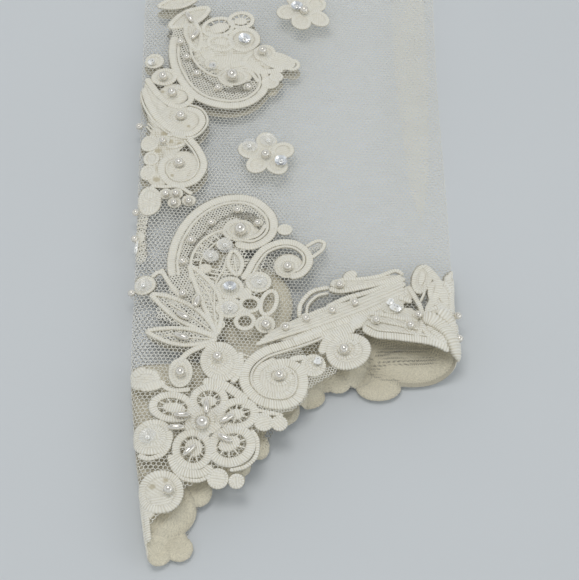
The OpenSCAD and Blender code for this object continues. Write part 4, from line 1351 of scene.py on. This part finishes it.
def with_turn(spots, rise=0.0, turns=(20, 75, -30, 50, 5, -60)):
    """Adds a turn to each spot and sets it nearer the fingertips by part of its rise."""
    return [(x, y - RISE_SHARE * rise, turns[k % len(turns)]) for k, (x, y) in enumerate(spots)]


# ---- net ---------------------------------------------------------------------------
def net_piece(name, layer, y0, y1, sizes):
    """One cut of the sleeve's net between two lines across the arm."""
    def inside(p):
        x, y = p.T
        edge = hand_edge(x) if layer == BACK else palm_edge(x)
        return (x > left_fold(y)) & (x < right_fold(y)) & (y > edge) & (y < ELBOW_Y - 1)

    def mine(p):
        return (p[:, 1] >= y0) & (p[:, 1] < y1)

    def spread(p):
        # the thread opens up where the net lies slack beside the lace
        loose = ramp(-p[:, 0], -12, 22) * (1 - 0.7 * ramp(p[:, 1], 28, 60))
        return sizes.net_thread / MM + 0.1 * loose

    low = (-HALF_W - 2, max(y0, -92) - 3)
    high = (HALF_W + 2, min(y1, ELBOW_Y) + 3)
    flat, quads, tris = honeycomb(inside, mine, (low, high), sizes.net_pitch / MM,
                                  spread, 0.12, -4 * layer)
    groups = [quads, tris] if layer == BACK else [quads[:, ::-1], tris[:, ::-1]]
    piece = new_piece(name, lay(flat, layer), groups, np.zeros(len(quads) + len(tris), int),
                      ["net_thread"], flat)
    # fine clear thread throws next to no shadow
    piece.visible_shadow = False
    piece.visible_diffuse = False
    return settle(piece, "net", "net_sleeve")


def seam_net(sizes):
    """The seam allowance: a narrow second and third layer of net inside the back."""
    points, groups, count = [], ([], []), 0
    for depth, tilt in ((-0.3, 11), (-0.55, -19)):
        def inside(p):
            x, y = p.T
            left = np.interp(y, (28, 44, 90), (41, 38, 35.2))
            right = np.interp(y, (28, 44, 90), (42, 44.5, 46.2))
            return (x > left) & (x < right) & (y > 26) & (y < ELBOW_Y - 8)

        flat, quads, tris = honeycomb(inside, inside, ((33, 24), (48, ELBOW_Y)),
                                      sizes.net_pitch / MM, sizes.net_thread / MM, 0.12, tilt)
        flat[:, 2] += depth
        points.append(flat)
        groups[0].append(quads + count)
        groups[1].append(tris + count)
        count += len(flat)
    quads, tris = np.concatenate(groups[0]), np.concatenate(groups[1])
    flat = np.concatenate(points)
    piece = new_piece("seam_net", lay(flat, BACK), [quads, tris], np.zeros(len(quads) + len(tris), int),
                      ["net_thread"], flat)
    piece.visible_shadow = False
    return settle(piece, "net", "seam_allowance")


def around(count, spread):
    """Points round the flattened tube at the elbow, spread out from the net by the given mm."""
    half = (BACK_Z - PALM_Z) / 2
    straight = HALF_W - half
    run = np.linspace(0, 4 * straight + 2 * math.pi * half, count, endpoint=False)
    out = np.zeros((count, 2))
    normal = np.zeros((count, 2))
    for k, s in enumerate(run):
        if s < 2 * straight:
            out[k], normal[k] = (-straight + s, half), (0, 1)
        elif s < 2 * straight + math.pi * half:
            a = math.pi / 2 - (s - 2 * straight) / half
            normal[k] = (math.cos(a), math.sin(a))
            out[k] = np.array([straight, 0]) + normal[k] * half
        elif s < 4 * straight + math.pi * half:
            out[k], normal[k] = (straight - (s - 2 * straight - math.pi * half), -half), (0, -1)
        else:
            a = -math.pi / 2 - (s - 4 * straight - math.pi * half) / half
            normal[k] = (math.cos(a), math.sin(a))
            out[k] = np.array([-straight, 0]) + normal[k] * half
    return out + normal * np.asarray(spread)[:, None], run


def ring_piece(name, section, count, ripple, material, slot, node):
    """Closed ring at the elbow: section gives (spread, place along the arm) points."""
    rows = []
    for k, (spread, along) in enumerate(section):
        phase = np.linspace(0, 2 * math.pi, count, endpoint=False)
        wave = np.sin(61 * phase) + 0.5 * np.sin(97 * phase + 1) + 0.4 * np.sin(23 * phase + k * 0.3)
        flat, _ = around(count, spread + ripple * wave)
        y = np.full(count, HEM_LOW.y + along)
        rows.append(np.stack([flat[:, 0], y, flat[:, 1] + (BACK_Z + PALM_Z) / 2], 1))
    points = np.stack(rows, 1).reshape(-1, 3) * MM
    n = len(section)
    k, i = np.arange(count)[:, None], np.arange(n)[None]
    kk, ii = (k + 1) % count, (i + 1) % n
    quads = np.stack([k * n + i, kk * n + i, kk * n + ii, k * n + ii], -1).reshape(-1, 4)
    piece = new_piece(name, points, [quads], np.zeros(len(quads), int), [material])
    return settle(piece, slot, node)


# ---- stage -------------------------------------------------------------------------
def make_table(look):
    """A wide smooth table sheet that turns up into a backdrop all round."""
    n, reach = 81, 2.2
    line = np.linspace(-1, 1, n)
    x, y = np.meshgrid(line, line, indexing="ij")
    out = np.maximum(np.hypot(x, y) - 0.6, 0)
    points = np.stack([x * reach, y * reach, out**2 * 1.2 - 0.0001], 2).reshape(-1, 3)
    i, j = np.arange(n - 1)[:, None], np.arange(n - 1)[None]
    a = i * n + j
    quads = np.stack([a, a + n, a + n + 1, a + 1], -1).reshape(-1, 4)
    material, tree, shader = new_material("table_paint", tuple(look.table_colour), Roughness=0.75)
    base = tuple(look.table_colour)
    mottled(tree, shader, shade(base, 0.992), shade(base, 1.008), 9)
    mesh = bpy.data.meshes.new("table")
    mesh.from_pydata(points.tolist(), [], quads.tolist())
    mesh.polygons.foreach_set("use_smooth", np.ones(len(quads), bool))
    mesh.materials.append(material)
    table = bpy.data.objects.new("table", mesh)
    bpy.context.scene.collection.objects.link(table)


def add_softbox(name, place, aim, across, tall, power, tint):
    """Rectangular soft light that faces aim."""
    data = bpy.data.lights.new(name, "AREA")
    data.shape = "RECTANGLE"
    data.size = across
    data.size_y = tall
    data.energy = power
    data.color = tint
    lamp = bpy.data.objects.new(name, data)
    lamp.location = place
    lamp.rotation_euler = (Vector(aim) - Vector(place)).to_track_quat("-Z", "Y").to_euler()
    bpy.context.scene.collection.objects.link(lamp)


def make_lights(look):
    """Even fill, bright low and dim overhead, a softbox above and a weaker one aside."""
    world = bpy.data.worlds.new("studio_fill")
    world.use_nodes = True
    tree = world.node_tree
    sky = tree.nodes["Background"]
    sky.inputs["Strength"].default_value = look.sky_strength
    place = tree.nodes.new("ShaderNodeTexCoord")
    parts = tree.nodes.new("ShaderNodeSeparateXYZ")
    walls = tree.nodes.new("ShaderNodeValToRGB")
    walls.color_ramp.elements[0].color = (0.93, 0.97, 1.0, 1)
    walls.color_ramp.elements[1].color = (0.26, 0.27, 0.28, 1)
    tree.links.new(place.outputs["Generated"], parts.inputs["Vector"])
    tree.links.new(parts.outputs["Z"], walls.inputs["Fac"])
    tree.links.new(walls.outputs["Color"], sky.inputs["Color"])
    bpy.context.scene.world = world
    middle = (0, WRIST_Y * MM, 0)
    add_softbox("softbox_main", (-0.12, 0.0, 1.1), middle, 0.5, 0.5, look.light_power, (1, 0.985, 0.96))
    add_softbox("softbox_side", (0.85, -0.5, 0.4), middle, 0.7, 0.5, look.light_power * 0.35,
                (0.96, 0.98, 1))


def make_camera():
    """Camera that looks at the wrist from the fingertips' side."""
    lift, away = math.radians(56), 0.515
    data = bpy.data.cameras.new("studio_camera")
    data.lens = 105.5
    data.sensor_width = 36
    camera = bpy.data.objects.new("studio_camera", data)
    aim = Vector((0, WRIST_Y * MM, 0.0104))
    camera.location = aim + away * Vector((0, -math.cos(lift), math.sin(lift)))
    camera.rotation_euler = (math.radians(90) - lift, 0, 0)
    bpy.context.scene.collection.objects.link(camera)
    bpy.context.scene.camera = camera
    bpy.context.scene.view_settings.view_transform = "Standard"


# ---- sizes and colours that a maker would change ------------------------------------
def size(name, description, default, low, high):
    """A length that a maker would change."""
    return bpy.props.FloatProperty(
        name=name, description=description, default=default, min=low, max=high,
        unit="LENGTH", precision=5)


def colour(name, description, default):
    """A colour that a maker would change."""
    return bpy.props.FloatVectorProperty(
        name=name, description=description, default=default, min=0, max=1, size=3,
        subtype="COLOR")


class GloveSizes(bpy.types.PropertyGroup):
    """Sizes of the net and the beads."""
    net_pitch: size("Net pitch", "Distance between neighbouring holes of the net", 0.00124, 0.001, 0.003)
    net_thread: size("Net thread", "Width of one thread of the net", 0.00014, 0.00008, 0.0003)
    large_pearl: size("Large pearl", "Diameter of the large pearls", 0.004, 0.003, 0.0045)
    mid_pearl: size("Middle pearl", "Diameter of the middle pearls", 0.003, 0.0025, 0.0032)
    small_pearl: size("Small pearl", "Diameter of the small pearls", 0.0023, 0.002, 0.0027)
    rice_length: size("Rice pearl length", "Length of a rice pearl", 0.005, 0.004, 0.006)
    rice_width: size("Rice pearl width", "Width of a rice pearl", 0.0019, 0.0015, 0.0022)
    sequin: size("Sequin", "Diameter of a cup sequin", 0.0052, 0.004, 0.006)


class GloveLook(bpy.types.PropertyGroup):
    """Colours of the threads, beads and table."""
    thread_colour: colour("Lace thread", "Right side of the lace", (0.87, 0.845, 0.745))
    # dull back of the lace, darker and warmer than the thread as painted shade of the glove's inside
    wrong_side_shade_colour: colour("Lace inside", "Wrong side of the lace", (0.77, 0.715, 0.56))
    net_colour: colour("Net thread", "Thread of the net", (0.98, 0.955, 0.86))
    pearl_colour: colour("Pearl", "Coat of the pearls", (0.8, 0.76, 0.68))
    sequin_colour: colour("Sequin", "Film of the sequins", (0.93, 0.94, 0.95))
    glass_colour: colour("Crystal", "Cut glass", (0.96, 0.95, 0.91))
    hem_colour: colour("Hem", "Cloth of the elbow hem", (0.86, 0.85, 0.8))
    table_colour: colour("Table", "Table and backdrop", (0.66, 0.685, 0.7))
    light_power: bpy.props.FloatProperty(
        name="Softbox power", description="Power of the large softbox", default=3.0, min=0, unit="POWER")
    sky_strength: bpy.props.FloatProperty(
        name="Fill strength", description="Strength of the even fill light", default=1.1, min=0)


# ---- one operator for each piece ----------------------------------------------------
class GLOVE_OT_sleeve_net(bpy.types.Operator):
    """Makes the sleeve of hexagon net, back and palm, in three lengths each"""
    bl_idname = "glove.sleeve_net"
    bl_label = "Sleeve net"

    def execute(self, context):
        for side, layer in (("back", BACK), ("palm", PALM)):
            for part, y0, y1 in NET_CUTS:
                net_piece(f"{side}_net_{part}", layer, y0, y1, context.scene.glove_sizes)
        return {"FINISHED"}


class GLOVE_OT_seam_net(bpy.types.Operator):
    """Makes the seam allowance inside the back of the sleeve"""
    bl_idname = "glove.seam_net"
    bl_label = "Seam allowance"

    def execute(self, context):
        seam_net(context.scene.glove_sizes)
        return {"FINISHED"}


class GLOVE_OT_elbow_hem(bpy.types.Operator):
    """Makes the gathered casing at the elbow, its stitches and the elastic inside it"""
    bl_idname = "glove.elbow_hem"
    bl_label = "Elbow hem"

    def execute(self, context):
        deep = HEM_HIGH.y - HEM_LOW.y
        casing = [(1.25, 0.1), (1.5, 0.5), (1.5, 3), (1.45, 6), (1.4, deep - 0.9), (1.15, deep - 0.25),
                  (0.7, deep), (0.25, deep - 0.25), (0.1, deep - 0.9), (0.1, 3), (0.1, 0.1),
                  (0.3, 0.1), (0.32, 3), (0.34, deep - 1.1), (0.7, deep - 0.5), (1.1, deep - 1.1),
                  (1.18, 6), (1.2, 3), (1.2, 0.5)]
        ring_piece("elbow_hem_casing", casing, 900, 0.08, "hem_tricot", "hem_cloth", "elbow_hem")
        band = [(0.5, 1.2), (0.95, 1.2), (0.95, deep - 1.3), (0.5, deep - 1.3)]
        ring_piece("elbow_elastic_band", band, 500, 0.0, "ribbed_elastic", "elastic", "elbow_elastic")
        stitch_y, stitch_long, first_x, stitch_pitch = HEM_Y + 1.2, 1.5, -47.5, 2.42
        for name, layer in (("hem_stitches_back", BACK), ("hem_stitches_palm", PALM)):
            work = Work()
            for k in range(40):
                x = first_x + stitch_pitch * k
                ends = [(x - stitch_long / 2, stitch_y), (x + stitch_long / 2, stitch_y)]
                work.band(ends, 0.3, 0.22, 1.55, columns=5)
            work.sew(name, layer)
        return {"FINISHED"}


class GLOVE_OT_tip_flower(bpy.types.Operator):
    """Stitches the large flower at the hand point"""
    bl_idname = "glove.tip_flower"
    bl_label = "Tip flower"

    def execute(self, context):
        tip_flower().sew("tip_flower", BACK, "tip_flower_lace")
        return {"FINISHED"}


class GLOVE_OT_tip_scroll(bpy.types.Operator):
    """Stitches the round scroll and strip at the hand point"""
    bl_idname = "glove.tip_scroll"
    bl_label = "Tip scroll"

    def execute(self, context):
        tip_scroll().sew("tip_scroll", BACK, "tip_scroll_lace")
        return {"FINISHED"}


class GLOVE_OT_hand_scroll(bpy.types.Operator):
    """Stitches the wide scroll beside the tip flower"""
    bl_idname = "glove.hand_scroll"
    bl_label = "Hand scroll"

    def execute(self, context):
        hand_scroll().sew("hand_scroll", BACK, "hand_scroll_lace")
        return {"FINISHED"}


class GLOVE_OT_hand_edge(bpy.types.Operator):
    """Stitches the band of cords, leaves and rounds along the hand edge"""
    bl_idname = "glove.hand_edge"
    bl_label = "Hand edge"

    def execute(self, context):
        hand_edge_lace().sew("hand_edge", BACK, "hand_edge_lace")
        return {"FINISHED"}


class GLOVE_OT_fold_wrap(bpy.types.Operator):
    """Stitches the crumpled petals that wrap round the right fold"""
    bl_idname = "glove.fold_wrap"
    bl_label = "Fold wrap"

    def execute(self, context):
        fold_wrap().sew("fold_wrap", BACK, "fold_wrap_lace")
        return {"FINISHED"}


class GLOVE_OT_wrist_leaves(bpy.types.Operator):
    """Stitches the spray of leaves at the wrist"""
    bl_idname = "glove.wrist_leaves"
    bl_label = "Wrist leaves"

    def execute(self, context):
        wrist_leaves().sew("wrist_leaves", BACK, "wrist_leaf_lace")
        return {"FINISHED"}


class GLOVE_OT_wrist_flower(bpy.types.Operator):
    """Stitches the sequinned flower and its scroll"""
    bl_idname = "glove.wrist_flower"
    bl_label = "Wrist flower"

    def execute(self, context):
        wrist_flower().sew("wrist_flower", BACK, "wrist_flower_lace")
        return {"FINISHED"}


class GLOVE_OT_wrist_paisley(bpy.types.Operator):
    """Stitches the curled paisley of the wrist"""
    bl_idname = "glove.wrist_paisley"
    bl_label = "Wrist paisley"

    def execute(self, context):
        wrist_paisley().sew("wrist_paisley", BACK, "wrist_paisley_lace")
        return {"FINISHED"}


class GLOVE_OT_fold_cluster(bpy.types.Operator):
    """Stitches the four bead seats and pads at the left fold"""
    bl_idname = "glove.fold_cluster"
    bl_label = "Fold cluster"

    def execute(self, context):
        fold_cluster().sew("fold_cluster", BACK, "fold_cluster_lace")
        return {"FINISHED"}


class GLOVE_OT_fold_chain(bpy.types.Operator):
    """Stitches the chain of scrolls along the left fold"""
    bl_idname = "glove.fold_chain"
    bl_label = "Fold chain"

    def execute(self, context):
        fold_chain().sew("fold_chain", BACK, "fold_chain_lace")
        return {"FINISHED"}


class GLOVE_OT_arm_paisley(bpy.types.Operator):
    """Stitches the paisley of the arm, end for end with that of the wrist"""
    bl_idname = "glove.arm_paisley"
    bl_label = "Arm paisley"

    def execute(self, context):
        arm_paisley().sew("arm_paisley", BACK, "arm_paisley_lace")
        return {"FINISHED"}


class GLOVE_OT_arm_flower(bpy.types.Operator):
    """Stitches the flower and leaves of the arm"""
    bl_idname = "glove.arm_flower"
    bl_label = "Arm flower"

    def execute(self, context):
        arm_flower().sew("arm_flower", BACK, "arm_flower_lace")
        return {"FINISHED"}


class GLOVE_OT_small_flowers(bpy.types.Operator):
    """Stitches the single small flowers"""
    bl_idname = "glove.small_flowers"
    bl_label = "Small flowers"

    def execute(self, context):
        flowers = gather(*(small_flower(place, 90 + 25 * k) for k, place in enumerate(SMALL_FLOWERS)))
        flowers.sew("small_flowers", BACK, "small_flower_lace")
        return {"FINISHED"}


class GLOVE_OT_elbow_lace(bpy.types.Operator):
    """Stitches the flower and paisley of the upper arm"""
    bl_idname = "glove.elbow_lace"
    bl_label = "Elbow lace"

    def execute(self, context):
        tip_flower().flipped().sew("elbow_flower", BACK, "elbow_flower_lace")
        elbow = wrist_paisley().shifted((0, ELBOW_REPEAT))
        elbow.sew("elbow_paisley", BACK, "elbow_paisley_lace")
        return {"FINISHED"}


class GLOVE_OT_palm_lace(bpy.types.Operator):
    """Stitches the same motifs on the palm, a few millimetres off those of the back"""
    bl_idname = "glove.palm_lace"
    bl_label = "Palm lace"

    def execute(self, context):
        tip = gather(tip_flower(), tip_scroll(), hand_scroll()).shifted(PALM_SHIFT)
        gather(palm_lobes(), tip).sew("palm_tip", PALM, "palm_tip_lace")
        edge = gather(hand_edge_lace(), fold_wrap()).shifted(PALM_SHIFT * 0.5)
        edge.sew("palm_edge", PALM, "palm_edge_lace")
        heart = Work(0.06)
        heart.pad((-12, -5), (13, 14), 0.2)
        wrist = gather(wrist_leaves(), wrist_flower(), wrist_paisley(), fold_cluster(),
                       paisley_ground(), heart).shifted(SLEEVE_SHIFT)
        wrist.sew("palm_paisley", PALM, "palm_paisley_lace")
        arm = gather(fold_chain(), arm_paisley(), arm_flower(),
                     paisley_ground().flipped(slide=-3)).shifted(-0.75 * SLEEVE_SHIFT)
        arm.sew("palm_arm", PALM, "palm_arm_lace")
        return {"FINISHED"}


class GLOVE_OT_pearls(bpy.types.Operator):
    """Sews on the round and long pearls with their threads"""
    bl_idname = "glove.pearls"
    bl_label = "Pearls"

    def execute(self, context):
        sizes = context.scene.glove_sizes
        large, mid, small = (s / MM for s in (sizes.large_pearl, sizes.mid_pearl, sizes.small_pearl))
        seat = 0.55
        mids = HAND_MID + CHAIN_MID + SMALL_FLOWERS
        smalls = BACK_SMALL + PAISLEY_SMALL + [(x, y + ELBOW_REPEAT) for x, y in PAISLEY_SMALL]
        rices = TIP_RICE + LEAF_RICE + [(x, 2 * FLIP_Y - y, -a) for x, y, a in TIP_RICE]
        folds = at_fold(-1, FOLD_ROWS) + at_fold(1, WRAP_ROWS)
        sets = (
            ("large_pearls", large, BACK_LARGE, "large_pearls"),
            ("mid_pearls", mid, mids, "mid_pearls"),
            ("small_pearls", small, smalls, "small_pearls"),
            ("fold_pearls", small, folds, "fold_pearls"),
        )
        threads = []
        for name, wide, spots, node in sets:
            high = seat + wide / 2
            turned = with_turn(spots, high)
            pearls = scatter(pearl_form(wide, wide), turned, BACK, high, 0.05)
            bead_piece(name, "pearl", "pearl_coat", [pearls], node)
            threads.append(scatter(thread_form(wide / 2 + 0.12, high), turned, BACK, 0.0))
        long, wide = sizes.rice_length / MM, sizes.rice_width / MM
        rices = [(x, y - RISE_SHARE * (seat + wide / 2), turn) for x, y, turn in rices]
        pearls = scatter(pearl_form(long, wide, 0.4), rices, BACK, seat + wide / 2, 0.05)
        bead_piece("rice_pearls", "pearl", "pearl_coat", [pearls], "rice_pearls")
        threads.append(scatter(thread_form(long / 2 + 0.1, seat + wide / 2), rices, BACK, 0.0))
        tip = [TIP_HEART] + [HAND_MID[0], HAND_MID[1], HAND_MID[2], HAND_MID[3]]
        tip = [(x, y + PALM_SHIFT[1]) for x, y in tip]
        palm = with_turn(tip + BACK_LARGE[1:3] + HAND_MID[4:] + CHAIN_MID)
        pearls = scatter(pearl_form(mid, mid), palm, PALM, lambda x, y, base: base[2] - mid / 2)
        bead_piece("palm_pearls", "pearl", "pearl_coat", [pearls], "palm_pearls")
        bead_piece("pearl_threads", "lace", "lace_thread", threads)
        return {"FINISHED"}


class GLOVE_OT_sequins(bpy.types.Operator):
    """Sews on the cup sequins with their seed beads, the crystals and the bugle bead"""
    bl_idname = "glove.sequins"
    bl_label = "Sequins and crystals"

    def execute(self, context):
        wide = context.scene.glove_sizes.sequin / MM
        spots = BRIGHT_SEQUINS + CLEAR_SEQUINS
        bright = scatter(cup_form(wide * 0.8, 1.1), with_turn(BRIGHT_SEQUINS, 1), BACK, 0.7, 0.1)
        clear = scatter(cup_form(wide, 0.7), with_turn(CLEAR_SEQUINS, 1), BACK, 0.7, 0.1)
        bead_piece("bright_sequins", "sequin", "bright_sequin", [bright], "cup_sequins", smooth=False)
        bead_piece("clear_sequins", "sequin", "clear_sequin", [clear], "cup_sequins", smooth=False)
        seeds = scatter(seed_form(1.4), with_turn(spots, 1.4), BACK, 1.3, 0.1)
        bead_piece("seed_beads", "crystal", "cut_glass", [seeds], "seed_beads")
        stones = scatter(crystal_form(2.8), with_turn(CRYSTALS, 1.8), BACK, 1.5, 0.25)
        bead_piece("crystals", "crystal", "cut_glass", [stones], "crystals", smooth=False)
        tube = lathe([(-2.4, 0.3), (-2.4, 0.6), (2.4, 0.6), (2.4, 0.3)][::-1], 8)
        bugle = scatter(tube, BUGLES, BACK, 0.9)
        bead_piece("bugle_beads", "crystal", "cut_glass", [bugle], "bugle_beads")
        return {"FINISHED"}


class GLOVE_OT_cut_sizes(bpy.types.Operator):
    """Placeholder step that does nothing."""
    bl_idname = "glove.cut_sizes"
    bl_label = "Cloth sizes"

    def execute(self, context):
        return {"FINISHED"}


class GLOVE_OT_stage(bpy.types.Operator):
    """Makes the pale table, the soft light and the camera"""
    bl_idname = "glove.stage"
    bl_label = "Table, light and camera"

    def execute(self, context):
        look = context.scene.glove_look
        make_table(look)
        make_lights(look)
        make_camera()
        return {"FINISHED"}


class GLOVE_PT_panel(bpy.types.Panel):
    """Lists the steps that make the glove"""
    bl_label = "Lace bridal glove"
    bl_idname = "GLOVE_PT_panel"
    bl_space_type = "VIEW_3D"
    bl_region_type = "UI"
    bl_category = "Glove"

    def draw(self, context):
        column = self.layout.column(align=True)
        for operator in STEPS:
            column.operator(operator.bl_idname)
        for group in (context.scene.glove_sizes, context.scene.glove_look):
            column.separator()
            for entry in group.bl_rna.properties:
                if entry.identifier not in {"rna_type", "name"}:
                    column.prop(group, entry.identifier)


STEPS = (
    GLOVE_OT_sleeve_net, GLOVE_OT_seam_net, GLOVE_OT_elbow_hem, GLOVE_OT_tip_flower,
    GLOVE_OT_tip_scroll, GLOVE_OT_hand_scroll, GLOVE_OT_hand_edge, GLOVE_OT_fold_wrap,
    GLOVE_OT_wrist_leaves, GLOVE_OT_wrist_flower, GLOVE_OT_wrist_paisley, GLOVE_OT_fold_cluster,
    GLOVE_OT_fold_chain, GLOVE_OT_arm_paisley, GLOVE_OT_arm_flower, GLOVE_OT_small_flowers,
    GLOVE_OT_elbow_lace, GLOVE_OT_palm_lace, GLOVE_OT_pearls, GLOVE_OT_sequins,
    GLOVE_OT_cut_sizes, GLOVE_OT_stage,
)
CLASSES = (GloveSizes, GloveLook, *STEPS, GLOVE_PT_panel)


def register():
    for entry in CLASSES:
        bpy.utils.register_class(entry)
    bpy.types.Scene.glove_sizes = bpy.props.PointerProperty(type=GloveSizes)
    bpy.types.Scene.glove_look = bpy.props.PointerProperty(type=GloveLook)


def unregister():
    del bpy.types.Scene.glove_look
    del bpy.types.Scene.glove_sizes
    for entry in reversed(CLASSES):
        bpy.utils.unregister_class(entry)


def main():
    """Registers the steps and makes the whole glove."""
    register()
    for step in STEPS:
        group, name = step.bl_idname.split(".")
        getattr(getattr(bpy.ops, group), name)()


if __name__ == "__main__":
    main()
